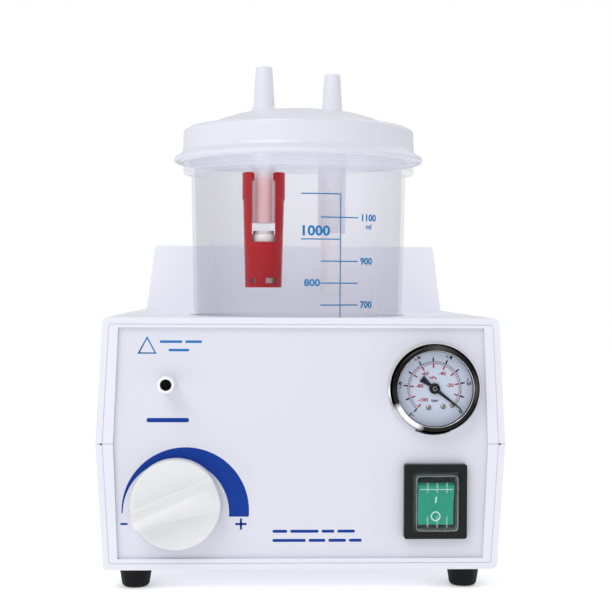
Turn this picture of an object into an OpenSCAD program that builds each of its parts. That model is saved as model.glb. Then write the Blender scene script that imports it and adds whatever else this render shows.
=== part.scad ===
// Portable suction pump. A two-shell case with a raised rear housing carries a
// collection jar in a well, a vacuum gauge, a regulator knob and a mains switch.
// Inside, a mains motor drives a diaphragm pump through an eccentric.
// The front faces -Y and +Z is up. The origin is on the floor, at the centre of the
// outer box. Places inside modules are given as x, distance behind the front, z.

/* [Case] */
// Width of the case at the seam
case_w = 210; // [206:1:214]
// Depth of the case, front to back
case_d = 350; // [348:1:360]
// Height of the deck above the floor
deck_z = 139.7; // [139:0.1:141]
// Height of the case's underside above the floor
base_z = 10.7; // [10:0.1:12]
// Height of the seam between the two shells
seam_z = 75.2; // [74:0.1:77]
// Thickness of the shell walls
wall_t = 3; // [2.6:0.1:3.2]
// Radius of the long edges
edge_r = 3; // [2.5:0.5:5]
// Height of the raised rear housing's top
housing_z = 180; // [178:1:190]
// Width of the raised housing at the deck
housing_w = 180.4; // [176:0.4:184]

/* [Jar and lid] */
// Outer radius of the jar below its collar
jar_r = 59.6; // [59:0.1:59.8]
// Draft of the jar's wall, in degrees
jar_draft = 1.2; // [0.8:0.1:1.4]
// Distance of the jar's axis behind the front
jar_y = 67.9; // [67:0.1:69]
// Turn of the lid that sets where its two ports stand
lid_turn = 30.5; // [0:0.5:40]
// Distance of each port from the jar's axis
port_r = 22.6; // [21:0.1:24]
// Height of the port tips above the floor
port_tip_z = 276.1; // [270:0.1:280]

/* [Front controls] */
// Radius of the regulator knob
knob_r = 23; // [20:0.1:23.2]
// How far the knob's grip stands out of the case's front
knob_out = 18; // [17:0.5:22]
// Outer radius of the gauge's bezel
bezel_r = 23.8; // [23.4:0.1:24.5]
// Width of the switch frame
switch_w = 32.3; // [31:0.1:34]
// Height of the switch frame
switch_h = 38.2; // [37:0.1:39]

/* [Pump] */
// Height of the motor shaft
shaft_z = 70; // [70:0.5:71]
// Throw of the eccentric
throw = 3; // [2:0.1:3]
// Width and height of the motor's stator
stator_w = 76; // [74:1:76]
// Width and depth of the pump head
head_w = 64; // [62:1:66]

/* [Hidden] */
$fn = 64;
front_y = -(case_d - knob_out) / 2;
slack = 0.1;

// Case
seam_gap = 0.2;
lean_up = 3.28;
lean_down = 3.6;
frame_t = 6.5;
panel_y = 1.9;
panel_t = 1.8;
panel_lip = 1.9;
panel_top = [93.5, deck_z - 5.1];
panel_mid = 96;
panel_low = [93.6, base_z + 5.7];
groove_in = 3.2;
groove_w = 0.4;
housing_edge_r = 2.5;
housing_y = 134;
housing_lean = 7.5;
boss_x = 92;
boss_ys = [34, 316];
boss_r = 5;
floor_top = base_z + wall_t;
foot_x = 85.4;
foot_ys = [14, case_d - 14];
foot_r = 8.7;
grip_x = 56;
grip_y0 = 296;
grip_y1 = 330;
grip_floor = 152;
grip_bar_z = 166;

// Jar and lid
well_r = 60.3;
well_t = 2.2;
well_floor = 63;
rest_gap = 0.3;
jar_base = well_floor + rest_gap;
jar_wall = 2;
collar_z = 217.8;
collar_top = 224;
collar_r = 64.5;
neck_r = 61;
neck_top = 238;
rim_r = 69.4;
rim_z = collar_top + 0.4;
skirt_r = 64.4;
seat_z = neck_top + rest_gap + 2.3;
dome_z = 253.9;
dome_t = 2.3;
boss_top = 253.3;
port_foot = 236;
port_flange_r = 7.4;
stub_r = 4.5;
bore_r = 3;
out_tube_r = 6.45;
out_tube_end = 190.5;
in_tube_r = 7.9;
in_tube_end = 186;
tube_top = 248.6;
drip_r = 6.25;
drip_end = 151;
drip_cut = 24;
tube_bore = stub_r + 0.05;
cage_top = 218;
cage_step = 203;
cage_base = 155;

// Front controls
knob_x = -63.8;
knob_z = 45.1;
knob_skirt = 9;
nipple_x = -68.5;
nipple_z = 106.1;
nipple_out = 12;
nipple_r = 4.3;
nipple_tail_r = 3.8;
nipple_bore = 2.9;
gauge_x = 68.1;
gauge_z = 103.7;
gauge_tilt = -37.8;
dial_r = 21.2;
sector_drop = 10;
switch_x = 68.8;
switch_z = 45.8;
rocker_y = 4;
rocker_tilt = 10;
rocker_w = 18.4;
pin_r = 1.5;

// Pump and motor
stator_y0 = 238;
stator_y1 = 282;
shaft_r = 4;
bearing_r = 11;
bearing_w = 7;
plate_top = 30;
plate_t = 2;
head_y = 195;
flange_z = 110;
rod_y0 = 189;
rod_y1 = 199;
pump_axis = shaft_z + throw;
wire_z = 88;
mount_x = 68;
mount_ys = [180, 300];
inlet_x = 58;
inlet_z = 62;

// ---------- placing helpers ----------

module at(x, y, z) {
    translate([x, front_y + y, z]) children();
}

// Outline in X and Z, filled from y0 to y1 behind the front
module slab(y0, y1) {
    at(0, y1, 0) rotate([90, 0, 0]) linear_extrude(y1 - y0) children();
}

// Local +Z points out of the front, local +Y points up
module facing(x, y, z) {
    at(x, y, z) rotate([90, 0, 0]) children();
}

// Local +Z points to the rear
module rearward(x, y, z) {
    at(x, y, z) rotate([-90, 0, 0]) children();
}

module ring(r_in, r_out, h) {
    difference() {
        cylinder(r = r_out, h = h);
        translate([0, 0, -1]) cylinder(r = r_in, h = h + 2);
    }
}

module rounded_rect(w, h, r) {
    square([w - 2 * r, h], center = true);
    square([w, h - 2 * r], center = true);
    for (x = [-1, 1], y = [-1, 1]) {
        translate([x * (w / 2 - r), y * (h / 2 - r)]) circle(r = r);
    }
}

// A pan-head screw: the head's top is at z = 0 and the shank points down
module screw(head_r, head_h, shank_r, length) {
    translate([0, 0, -head_h]) cylinder(r = head_r, h = head_h);
    translate([0, 0, -head_h - length]) cylinder(r = shank_r, h = length + 0.5);
}

// ---------- outlines ----------

function mirrored(side) =
    concat(side, [for (i = [len(side) - 1 : -1 : 0]) [-side[i][0], side[i][1]]]);

function corner(x, z, r, a0, a1) =
    [for (i = [0 : 6]) let (a = a0 + (a1 - a0) * i / 6) [x + r * cos(a), z + r * sin(a)]];

function wall_x(z, lean) = case_w / 2 - abs(z - seam_z) * tan(lean);

// One shell's section. up is 1 for the upper shell and -1 for the lower one
function shell_outline(up, inset, r, start) =
    let (
        lean = up > 0 ? lean_up : lean_down,
        z_mid = (up > 0 ? deck_z : base_z) - up * (inset + r),
        x_mid = wall_x(z_mid, lean) - (inset + r) / cos(lean),
        z_start = seam_z + up * start,
        foot = [[wall_x(z_start, lean) - inset / cos(lean), z_start]]
    )
    mirrored(concat(foot, corner(x_mid, z_mid, r, up * lean, up * 90)));

function housing_x(z) = housing_w / 2 - (z - deck_z) * tan(housing_lean);

function housing_outline(inset, r, z_start) =
    let (
        z_mid = housing_z - inset - r,
        x_mid = housing_x(z_mid) - (inset + r) / cos(housing_lean),
        foot = [[housing_x(z_start) - inset / cos(housing_lean), z_start]]
    )
    mirrored(concat(foot, corner(x_mid, z_mid, r, housing_lean, 90)));

function panel_outline(grow) =
    mirrored([
        [panel_low[0] + grow, panel_low[1] - grow],
        [panel_mid + grow, seam_z],
        [panel_top[0] + grow, panel_top[1] + grow]
    ]);

// ---------- hoses and wires ----------

function unit(v) = v / norm(v);

// The axis that a direction lies closest to, so that a tube's ends are cut square
function main_axis(v) =
    let (big = max(abs(v[0]), abs(v[1]), abs(v[2])))
    [for (c = v) abs(c) == big ? sign(c) : 0];

function spline(a, b, c, d, t) =
    0.5 * (2 * b + (c - a) * t + (2 * a - 5 * b + 4 * c - d) * t * t
        + (3 * b - a - 3 * c + d) * t * t * t);

function smooth(route, steps) =
    let (n = len(route), ends = concat([2 * route[0] - route[1]], route,
        [2 * route[n - 1] - route[n - 2]]))
    concat([for (i = [1 : n - 1], k = [0 : steps - 1])
        spline(ends[i - 1], ends[i], ends[i + 1], ends[i + 2], k / steps)], [route[n - 1]]);

module tube_along(route, r, steps = 4, sides = 8) {
    path = smooth(route, steps);
    n = len(path);
    rings = [for (i = [0 : n - 1])
        let (
            along = path[min(i + 1, n - 1)] - path[max(i - 1, 0)],
            t = i == 0 || i == n - 1 ? main_axis(along) : unit(along),
            side = unit(cross(t, [0.21, 0.13, 0.97])),
            up = cross(side, t)
        )
        for (k = [0 : sides - 1])
            path[i] + r * (cos(360 * k / sides) * side + sin(360 * k / sides) * up)];
    skin = [for (i = [0 : n - 2], k = [0 : sides - 1])
        let (a = i * sides + k, b = i * sides + (k + 1) % sides)
        each [[a, b, b + sides], [a, b + sides, a + sides]]];
    caps = [[for (k = [sides - 1 : -1 : 0]) k], [for (k = [0 : sides - 1]) (n - 1) * sides + k]];
    translate([0, front_y, 0]) polyhedron(points = rings, faces = concat(skin, caps));
}

// ---------- case ----------

module end_cuts(up) {
    slab(-1, case_d + 1) polygon(panel_outline(0));
    for (y = [panel_y - slack, case_d - panel_y - panel_t - slack]) {
        slab(y, y + panel_t + 2 * slack) polygon(panel_outline(panel_lip + slack));
    }
    for (y = [-1, case_d - groove_w]) {
        slab(y, y + 1 + groove_w) difference() {
            polygon(shell_outline(up, groove_in, 1.5, -1));
            polygon(shell_outline(up, groove_in + groove_w, 1.2, -2));
        }
    }
}

module upper_shell() {
    color("whitesmoke")
    difference() {
        union() {
            difference() {
                union() {
                    slab(0, case_d) polygon(shell_outline(1, 0, edge_r, seam_gap / 2));
                    slab(housing_y, case_d)
                        polygon(housing_outline(0, housing_edge_r, deck_z - 1));
                }
                slab(frame_t, case_d - frame_t) polygon(shell_outline(1, wall_t, 1.5, -1));
                slab(housing_y + wall_t, case_d - wall_t)
                    polygon(housing_outline(wall_t, 1.5, deck_z - wall_t - 1));
                end_cuts(1);
            }
            at(0, jar_y, well_floor - well_t)
                cylinder(r = well_r + well_t, h = deck_z - 1 - well_floor + well_t);
            slab(grip_y0 - wall_t, case_d - 1)
                translate([-grip_x - wall_t, grip_floor - wall_t])
                    square([2 * (grip_x + wall_t), housing_z - 1 - grip_floor + wall_t]);
            for (x = [-boss_x, boss_x], y = boss_ys) {
                at(x, y, seam_z + seam_gap / 2) cylinder(r = boss_r - 0.5, h = deck_z - 1.5 - seam_z);
            }
        }
        at(0, jar_y, well_floor) cylinder(r = well_r, h = deck_z);
        slab(grip_y0, grip_y1) translate([-grip_x, grip_floor]) square([2 * grip_x, 40]);
        slab(grip_y0, case_d + 1)
            translate([-grip_x, grip_floor]) square([2 * grip_x, grip_bar_z - grip_floor]);
        for (x = [-boss_x, boss_x], y = boss_ys) {
            at(x, y, seam_z - 1) cylinder(r = 1.6, h = 30);
        }
    }
}

module lower_shell() {
    color("whitesmoke")
    difference() {
        union() {
            difference() {
                slab(0, case_d) polygon(shell_outline(-1, 0, edge_r - 0.5, seam_gap / 2));
                slab(frame_t, case_d - frame_t) polygon(shell_outline(-1, wall_t, 1.5, -1));
                end_cuts(-1);
            }
            for (x = [-boss_x, boss_x], y = boss_ys) {
                at(x, y, base_z + 1) cylinder(r = boss_r, h = seam_z - seam_gap / 2 - base_z - 1);
            }
            for (x = [-foot_x, foot_x], y = foot_ys) {
                at(x, y, base_z + 1) cylinder(r = 6, h = 9);
            }
        }
        for (x = [-boss_x, boss_x], y = boss_ys) {
            at(x, y, base_z - 1) cylinder(r = 1.75, h = seam_z);
            at(x, y, base_z - 1) cylinder(r = 3.6, h = 40);
        }
        for (x = [-foot_x, foot_x], y = foot_ys) {
            at(x, y, base_z - 1) cylinder(r = 1.6, h = 10);
        }
        for (i = [-3 : 3]) {
            at(i * 12 - 2, 225, base_z - 1) cube([4, 50, 6]);
        }
    }
}

module panel_plate(y) {
    slab(y, y + panel_t) polygon(panel_outline(panel_lip));
}

module front_panel() {
    color("gainsboro")
    difference() {
        panel_plate(panel_y);
        rearward(nipple_x, -1, nipple_z) cylinder(r = nipple_tail_r + slack, h = 9);
        rearward(knob_x, -1, knob_z) cylinder(r = 4.85, h = 9);
        rearward(gauge_x, -1, gauge_z) cylinder(r = 20.4, h = 9);
        slab(-1, 9) translate([switch_x, switch_z]) square([27, 31.4], center = true);
    }
}

module rear_panel() {
    color("gainsboro")
    difference() {
        panel_plate(case_d - panel_y - panel_t);
        slab(case_d - 9, case_d + 1) {
            translate([inlet_x, inlet_z]) square([27.4, 39.4], center = true);
            for (i = [0 : 8]) {
                translate([-78 + i * 9, 40]) rounded_rect(4, 50, 1.9);
            }
        }
    }
}

module case_screws() {
    color("dimgray")
    for (x = [-boss_x, boss_x], y = boss_ys) {
        at(x, y, base_z + 34) mirror([0, 0, 1]) difference() {
            screw(3.2, 2.5, 1.55, 40);
            translate([0, 0, -1.2]) cylinder(r = 1.5, h = 3, $fn = 6);
        }
    }
}

module foot_profile() {
    difference() {
        polygon([[0, 0], [5.6, 0], [6.6, 0.5], [7.2, 1.6], [foot_r - 0.3, base_z - 1.6],
            [foot_r, base_z - 0.8], [foot_r, base_z], [0, base_z]]);
        square([3.4, 5]);
        square([1.65, 20]);
    }
}

module feet() {
    color("#1a1a1c")
    for (x = [-foot_x, foot_x], y = foot_ys) {
        at(x, y, 0) rotate_extrude() foot_profile();
    }
}

module foot_screws() {
    color("silver")
    for (x = [-foot_x, foot_x], y = foot_ys) {
        at(x, y, 2.4) mirror([0, 0, 1]) difference() {
            screw(3, 2.6, 1.55, 12);
            translate([0, 0, -1.2]) cylinder(r = 1.3, h = 3, $fn = 6);
        }
    }
}

// ---------- regulator ----------

// Round skirt with a raised grip bar left between two scooped flanks
module knob() {
    color("white")
    facing(knob_x, 1.2, knob_z)
    difference() {
        union() {
            rotate_extrude() polygon([[0, 0], [knob_r, 0], [knob_r, 2.5], [knob_r - 0.5, 6],
                [knob_r - 1.4, knob_skirt], [knob_r - 3, knob_skirt + 1], [0, knob_skirt + 1]]);
            intersection() {
                cylinder(r1 = knob_r, r2 = knob_r - 1.2, h = knob_out + 1.2);
                rotate([0, 0, 22]) grip_bar();
            }
        }
        translate([0, 0, -1]) cylinder(r = 3.05, h = 12);
    }
}

module grip_bar() {
    scoop_r = 13;
    bar_half = 3.4;
    difference() {
        translate([-knob_r, -12, 0]) cube([2 * knob_r, 24, knob_out + 1.2]);
        for (side = [-1, 1]) {
            translate([-knob_r - 1, side * (bar_half + scoop_r), knob_skirt + scoop_r])
                rotate([0, 90, 0]) cylinder(r = scoop_r, h = 2 * knob_r + 2);
        }
    }
}

module valve_spindle() {
    color("goldenrod")
    union() {
        rearward(knob_x, -8, knob_z) cylinder(r = 3, h = 38);
        rearward(knob_x, 30, knob_z) cylinder(r1 = 3, r2 = 1, h = 7);
    }
}

module valve_body() {
    color("goldenrod")
    difference() {
        union() {
            rearward(knob_x, panel_y + 0.2, knob_z) cylinder(r = 4.75, h = 12);
            rearward(knob_x, panel_y + panel_t + 0.1, knob_z) cylinder(r = 12, h = 32);
            rearward(knob_x, 35, knob_z) cylinder(r = 4, h = 13);
            at(knob_x, 26, knob_z - 20) cylinder(r = 4, h = 12);
        }
        rearward(knob_x, 0, knob_z) cylinder(r = 3.06, h = 31);
        rearward(knob_x, 30, knob_z) cylinder(r = 3.6, h = 8);
        rearward(knob_x, 37, knob_z) cylinder(r = 2, h = 20);
        at(knob_x, 26, knob_z - 25) cylinder(r = 2, h = 22);
    }
}

module valve_nut() {
    color("silver")
    facing(knob_x, panel_y - 0.05, knob_z) ring(4.8, 7, 0.45);
}

module suction_nipple() {
    chamfer = 0.8;
    color("white")
    difference() {
        union() {
            facing(nipple_x, panel_y, nipple_z)
                cylinder(r = nipple_r, h = nipple_out + panel_y - chamfer);
            facing(nipple_x, chamfer - nipple_out, nipple_z)
                cylinder(r1 = nipple_r, r2 = nipple_r - 0.6, h = chamfer);
            rearward(nipple_x, panel_y - 0.2, nipple_z) cylinder(r = nipple_tail_r, h = 14);
        }
        rearward(nipple_x, -nipple_out - 1, nipple_z)
            cylinder(r = nipple_bore, h = nipple_out + 20);
    }
}

// ---------- gauge ----------

module gauge_case() {
    color("#3a3b3d")
    difference() {
        union() {
            facing(gauge_x, panel_y, gauge_z) cylinder(r = 22.8, h = 0.9);
            rearward(gauge_x, panel_y - 0.1, gauge_z) cylinder(r = 20.1, h = 23);
        }
        rearward(gauge_x, -1, gauge_z) cylinder(r = 19.2, h = 24.5);
        rearward(gauge_x, -1, gauge_z - 8) cylinder(r = 5.05, h = 40);
    }
}

module gauge_bezel() {
    color("silver")
    facing(gauge_x, panel_y, gauge_z) rotate_extrude() polygon([[bezel_r, 0.1], [bezel_r, 1.6],
        [bezel_r - 0.3, 3.4], [bezel_r - 1.1, 5.6], [bezel_r - 2.2, 7.2], [bezel_r - 3.3, 7.9],
        [bezel_r - 4.1, 7.6], [bezel_r - 4.4, 6.7], [dial_r + 0.3, 6.5], [dial_r + 0.3, 1],
        [22.9, 1], [22.9, 0.1]]);
}

module gauge_lens() {
    color("white", 0.3)
    facing(gauge_x, panel_y - 5, gauge_z) cylinder(r = dial_r, h = 1.4);
}

module gauge_dial() {
    color("aliceblue")
    facing(gauge_x, panel_y - 1, gauge_z) difference() {
        cylinder(r = dial_r, h = 0.8);
        translate([0, 0, -1]) cylinder(r = 1.2, h = 3);
    }
}

module gauge_needle() {
    color("black")
    facing(gauge_x, panel_y - 2.4, gauge_z) {
        rotate([0, 0, gauge_tilt]) linear_extrude(0.5)
            polygon([[-8.4, -1.9], [-3, -0.7], [0, -1], [17.2, -0.25], [17.2, 0.25], [0, 1],
                [-3, 0.7], [-8.4, 1.9]]);
        cylinder(r = 2.8, h = 0.9);
        translate([0, 0, -9.5]) cylinder(r = 0.8, h = 11.4);
        translate([0, 0, -7.4]) cylinder(r = 1.5, h = 2);
    }
}

// Toothed sector that swings the needle's pinion, drawn at its pitch radius
module sector_gear() {
    color("goldenrod")
    facing(gauge_x, panel_y + 5, gauge_z - sector_drop) {
        difference() {
            union() {
                cylinder(r = 2, h = 2);
                rotate([0, 0, 67.5]) rotate_extrude(angle = 67.5)
                    translate([1.2, 0]) square([sector_drop - 1.5 - 0.3 - 1.2, 2]);
            }
            translate([0, 0, -1]) cylinder(r = 1.05, h = 4);
        }
    }
}

module bourdon_tube() {
    color("goldenrod")
    facing(gauge_x, panel_y + 15, gauge_z)
        rotate([0, 0, -75]) rotate_extrude(angle = 260) translate([14.5, 0]) circle(r = 2);
}

module gauge_stem() {
    color("goldenrod")
    difference() {
        union() {
            rearward(gauge_x, panel_y + 6, gauge_z - 8) cylinder(r = 5, h = 20);
            rearward(gauge_x, panel_y + 23, gauge_z - 8) cylinder(r = 7, h = 5, $fn = 6);
            rearward(gauge_x, panel_y + 27, gauge_z - 8) cylinder(r = 4, h = 10);
            rearward(gauge_x, panel_y + 2, gauge_z - sector_drop) cylinder(r = 1, h = 6);
        }
        rearward(gauge_x, panel_y + 10, gauge_z - 8) cylinder(r = 1.5, h = 40);
    }
}

// ---------- switch ----------

module switch_frame() {
    color("#232426") {
        difference() {
            union() {
                slab(-2.2, panel_y)
                    translate([switch_x, switch_z]) rounded_rect(switch_w, switch_h, 1.2);
                slab(panel_y - 0.2, 31)
                    translate([switch_x, switch_z]) square([26.6, 29], center = true);
            }
            slab(-3, 11) translate([switch_x, switch_z]) square([rocker_w + 1, 24.6], center = true);
            slab(-3, -1.2) translate([switch_x, switch_z]) rounded_rect(24.4, 31.2, 2.2);
        }
        at(switch_x - rocker_w / 2 - 1, rocker_y, switch_z)
            rotate([0, 90, 0]) cylinder(r = pin_r, h = rocker_w + 2);
    }
}

module switch_rocker() {
    color("mediumseagreen")
    at(switch_x - rocker_w / 2, rocker_y, switch_z) rotate([rocker_tilt, 0, 0])
        rotate([90, 0, 90]) linear_extrude(rocker_w) difference() {
            polygon([[-6.4, 0], [-8.2, 10.5], [-4, 10.7], [3, 7], [5.5, 0], [3, -7],
                [-4, -10.7], [-8.2, -10.5]]);
            circle(r = pin_r + 0.05);
        }
}

// Thin clear boot over the rocker, with three ribs above and below
module splash_cover() {
    color("white", 0.3)
    difference() {
        union() {
            slab(-2.2, -1.3) translate([switch_x, switch_z]) rounded_rect(24, 30.8, 2);
            slab(-8, -2) translate([switch_x, switch_z]) rounded_rect(22, 28.8, 2.5);
        }
        slab(-7.3, 0) translate([switch_x, switch_z]) rounded_rect(20.4, 27.2, 1.8);
    }
}

module switch_terminals() {
    color("goldenrod")
    for (x = [-6, 6], z = [-9, 0, 9]) {
        slab(31, 39) translate([switch_x + x, switch_z + z]) square([0.8, 4.8], center = true);
    }
}

// ---------- jar, lid and float valve ----------

function jar_at(z) = jar_r - (collar_z - 13 - z) * tan(jar_draft);

module jar() {
    color("white", 0.35)
    at(0, jar_y, 0) rotate_extrude() polygon(concat(
        [[0, jar_base]],
        corner(jar_at(jar_base) - 4, jar_base + 4, 4, -90, 0),
        [[jar_at(collar_z), collar_z], [collar_r, collar_z + 0.5], [collar_r, collar_z + 1.9],
            [collar_r - 0.7, collar_z + 2.4], [collar_r, collar_z + 2.9],
            [collar_r, collar_top], [neck_r, collar_top], [neck_r, neck_top],
            [neck_r - 2.6, neck_top], [jar_at(collar_z) - jar_wall, collar_z - 2]],
        corner(jar_at(jar_base) - jar_wall - 4, jar_base + 6.5, 4, 0, -90),
        [[0, jar_base + 2.5]]));
}

// The lid's crown, from its shoulder to the middle, as radius and height
function crown(drop) =
    [for (p = [[52, 244.6], [47, 246.6], [44, 247.9], [35, 250.7], [25, 252.2], [12, 253.5],
        [0, dome_z]]) [p[0], p[1] - drop]];

function reversed(list) = [for (i = [len(list) - 1 : -1 : 0]) list[i]];

module lid_profile() {
    polygon(concat(
        [[rim_r - 1.4, rim_z], [rim_r, rim_z + 0.2], [rim_r, rim_z + 2.2],
            [rim_r - 0.7, rim_z + 3], [skirt_r + 0.8, rim_z + 5], [skirt_r, rim_z + 6.6]],
        corner(skirt_r - 0.3 - 3, 240, 3, 0, 88),
        [[56, 243.6]],
        crown(0),
        reversed(crown(dome_t)),
        [[56, 241.3], [56.4, seat_z], [neck_r + 0.6, seat_z], [neck_r + 0.6, rim_z],
            [skirt_r + 0.5, rim_z], [skirt_r + 0.9, rim_z + 1.9], [rim_r - 1.8, rim_z + 1.3]]));
}

module over_port(side) {
    at(0, jar_y, 0) rotate([0, 0, lid_turn]) translate([side * port_r, 0, 0])
        rotate([0, 0, -lid_turn]) children();
}

// A hose nozzle pressed into the lid, with its flange on a flat boss
module nozzle() {
    difference() {
        union() {
            translate([0, 0, boss_top + 0.02]) cylinder(r = port_flange_r, h = 1.5);
            translate([0, 0, boss_top + 1])
                cylinder(r1 = 5.9, r2 = 4.4, h = port_tip_z - boss_top - 1);
            translate([0, 0, port_foot]) cylinder(r = stub_r, h = boss_top - port_foot + 1);
        }
        translate([0, 0, port_foot - 1]) cylinder(r = bore_r, h = port_tip_z - port_foot + 2);
    }
}

module lid() {
    color("white") {
        difference() {
            union() {
                at(0, jar_y, 0) rotate_extrude() lid_profile();
                for (side = [-1, 1]) {
                    over_port(side) translate([0, 0, boss_top - 3])
                        cylinder(r = port_flange_r, h = 3);
                }
            }
            for (side = [-1, 1]) {
                over_port(side) translate([0, 0, port_foot]) cylinder(r = stub_r + 0.02, h = 30);
            }
        }
        for (side = [-1, 1]) {
            over_port(side) nozzle();
        }
    }
}

module lid_gasket() {
    color("lightgray")
    at(0, jar_y, neck_top + rest_gap) ring(57, neck_r + 0.4, 2.2);
}

module outlet_tube() {
    color("white", 0.6)
    over_port(-1) translate([0, 0, out_tube_end]) ring(tube_bore, out_tube_r, tube_top - out_tube_end);
}

module inlet_tube() {
    color("white", 0.6)
    over_port(1) difference() {
        translate([0, 0, in_tube_end]) cylinder(r = in_tube_r, h = tube_top - in_tube_end);
        translate([0, 0, in_tube_end - 1]) cylinder(r = drip_r + 0.05, h = 50);
        translate([0, 0, in_tube_end - 1]) cylinder(r = tube_bore, h = 70);
    }
}

module drip_tube() {
    color("white", 0.3)
    over_port(1) difference() {
        translate([0, 0, drip_end]) ring(drip_r - 0.95, drip_r, 60);
        translate([0, 0, drip_end - 7]) rotate([0, drip_cut, 0])
            translate([-20, -20, -4]) cube([40, 40, 9]);
    }
}

module float_cage() {
    color("firebrick", 0.8)
    over_port(-1) difference() {
        rotate_extrude() polygon([[0, cage_base], [10.1, cage_base], [11.3, cage_step],
            [11.8, cage_step + 0.3], [11.8, cage_top], [out_tube_r + 0.06, cage_top],
            [out_tube_r + 0.06, cage_top - 4], [10.2, cage_top - 5], [9.8, cage_step],
            [8.8, cage_base + 1.5], [0, cage_base + 1.5]]);
        translate([-6.4, -15, 180]) cube([12.8, 11, 50]);
        translate([-6.4, 4, 180]) cube([12.8, 11, 50]);
        translate([-6.4, -15, cage_base + 2.2]) cube([1.8, 30, 3]);
        translate([1.2, -15, cage_base + 2.2]) cube([5, 30, 3]);
        translate([0, 0, cage_base - 1]) cylinder(r = 3, h = 5);
    }
}

module float_body() {
    color("white")
    over_port(-1) translate([0, 0, cage_base + 1.8]) rotate_extrude()
        polygon([[0, 0], [7, 0], [7.6, 0.8], [7.6, 25.5], [6.6, 27.4], [0, 27.4]]);
}

module float_seal() {
    color("lightgray")
    over_port(-1) translate([0, 0, cage_base + 29.2]) cylinder(r = 5.8, h = 1.9);
}

// ---------- motor ----------

module motor_block(y0, y1, z0) {
    intersection() {
        slab(y0, y1) translate([-stator_w / 2, z0])
            square([stator_w, shaft_z + stator_w / 2 - z0]);
        union() {
            rearward(0, y0, shaft_z) cylinder(r = stator_w * 0.64, h = y1 - y0);
            slab(y0, y1) translate([-stator_w / 2, z0]) square([stator_w, 12]);
        }
    }
}

module bolt_holes(y0, y1, r) {
    for (x = [-1, 1], z = [-1, 1]) {
        rearward(x * (stator_w / 2 - 6), y0, shaft_z + z * (stator_w / 2 - 6))
            cylinder(r = r, h = y1 - y0);
    }
}

module motor_stator() {
    color("slategray")
    difference() {
        motor_block(stator_y0, stator_y1, shaft_z - stator_w / 2);
        rearward(0, stator_y0 - 1, shaft_z) cylinder(r = 22.4, h = 60);
        bolt_holes(stator_y0 - 1, stator_y1 + 1, 2.1);
    }
}

module motor_coils() {
    color("peru")
    for (y = [stator_y0 - 11.9, stator_y1 + 0.1]) {
        rearward(0, y, shaft_z) rotate_extrude() translate([28, 5.9])
            rounded_rect(8, 11.8, 3);
    }
}

module bracket(y0, wall) {
    difference() {
        motor_block(y0, y0 + 22, plate_top);
        rearward(0, wall > 0 ? y0 + 9 : y0 - 1, shaft_z) cylinder(r = 34, h = 14);
        rearward(0, y0 - 1, shaft_z) cylinder(r = 6, h = 30);
        slab(y0 + 9.5, y0 + 14) translate([0, wire_z]) square([stator_w + 2, 4], center = true);
        rearward(0, wall > 0 ? y0 + 2 : y0 + 13, shaft_z) cylinder(r = bearing_r, h = bearing_w);
        bolt_holes(y0 - 1, y0 + 30, 2.1);
    }
}

module front_bracket() {
    color("silver") bracket(stator_y0 - 22, 1);
}

module rear_bracket() {
    color("silver") bracket(stator_y1, -1);
}

module motor_bolts() {
    color("dimgray") {
        bolt_holes(stator_y0 - 22, stator_y1 + 25, 2);
        for (x = [-1, 1], z = [-1, 1]) {
            rearward(x * (stator_w / 2 - 6), stator_y1 + 22, shaft_z + z * (stator_w / 2 - 6))
                cylinder(r = 3.6, h = 3, $fn = 6);
        }
    }
}

module rotor_core() {
    color("lightslategray")
    difference() {
        union() {
            rearward(0, stator_y0 + 1, shaft_z) cylinder(r = 22.05, h = 42);
            rearward(0, stator_y0 - 4, shaft_z) cylinder(r = 20, h = 52);
        }
        rearward(0, stator_y0 - 9, shaft_z) cylinder(r = shaft_r, h = 70);
    }
}

module motor_shaft() {
    color("silver")
    rearward(0, 186, shaft_z) cylinder(r = shaft_r, h = 138);
}

module shaft_bearings() {
    color("silver")
    for (y = [stator_y0 - 20, stator_y1 + 13]) {
        rearward(0, y, shaft_z) ring(shaft_r + 0.03, bearing_r, bearing_w);
    }
}

module cooling_fan() {
    color("ivory")
    difference() {
        union() {
            rearward(0, 310, shaft_z) cylinder(r = 9, h = 12);
            rearward(0, 310, shaft_z) for (i = [0 : 6]) {
                rotate([0, 0, i * 360 / 7]) translate([7, -1, 1]) rotate([32, 0, 0])
                    cube([24, 1.6, 11]);
            }
        }
        rearward(0, 300, shaft_z) cylinder(r = shaft_r, h = 40);
    }
}

// ---------- diaphragm pump ----------

// Crank journal with its counterweight on the other side
module eccentric() {
    color("silver")
    difference() {
        union() {
            rearward(0, rod_y0, pump_axis) cylinder(r = 9, h = rod_y1 - rod_y0 + 0.5);
            intersection() {
                rearward(0, rod_y1 + 0.4, shaft_z) cylinder(r = 22, h = 8);
                slab(rod_y1, rod_y1 + 9) translate([-25, shaft_z - 25]) square([50, 27]);
            }
            rearward(0, rod_y1 + 0.4, shaft_z) cylinder(r = 9, h = 8);
        }
        rearward(0, rod_y0 - 1, shaft_z) cylinder(r = shaft_r, h = 40);
    }
}

module rod_bearing() {
    color("gray")
    rearward(0, rod_y0, pump_axis) ring(9.03, 12.5, rod_y1 - rod_y0);
}

module connecting_rod() {
    color("lightsteelblue")
    difference() {
        union() {
            rearward(0, rod_y0, pump_axis) cylinder(r = 16, h = rod_y1 - rod_y0);
            slab(rod_y0 + 1, rod_y1 - 1)
                translate([-5, pump_axis + 10]) square([10, flange_z + 4 - pump_axis - 10]);
            at(0, head_y, flange_z + 3.4) cylinder(r = 13, h = 3);
            at(0, head_y, flange_z + 6) cylinder(r = 3.5, h = 3.3);
        }
        rearward(0, rod_y0 - 1, pump_axis) cylinder(r = 12.5, h = 20);
    }
}

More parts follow.
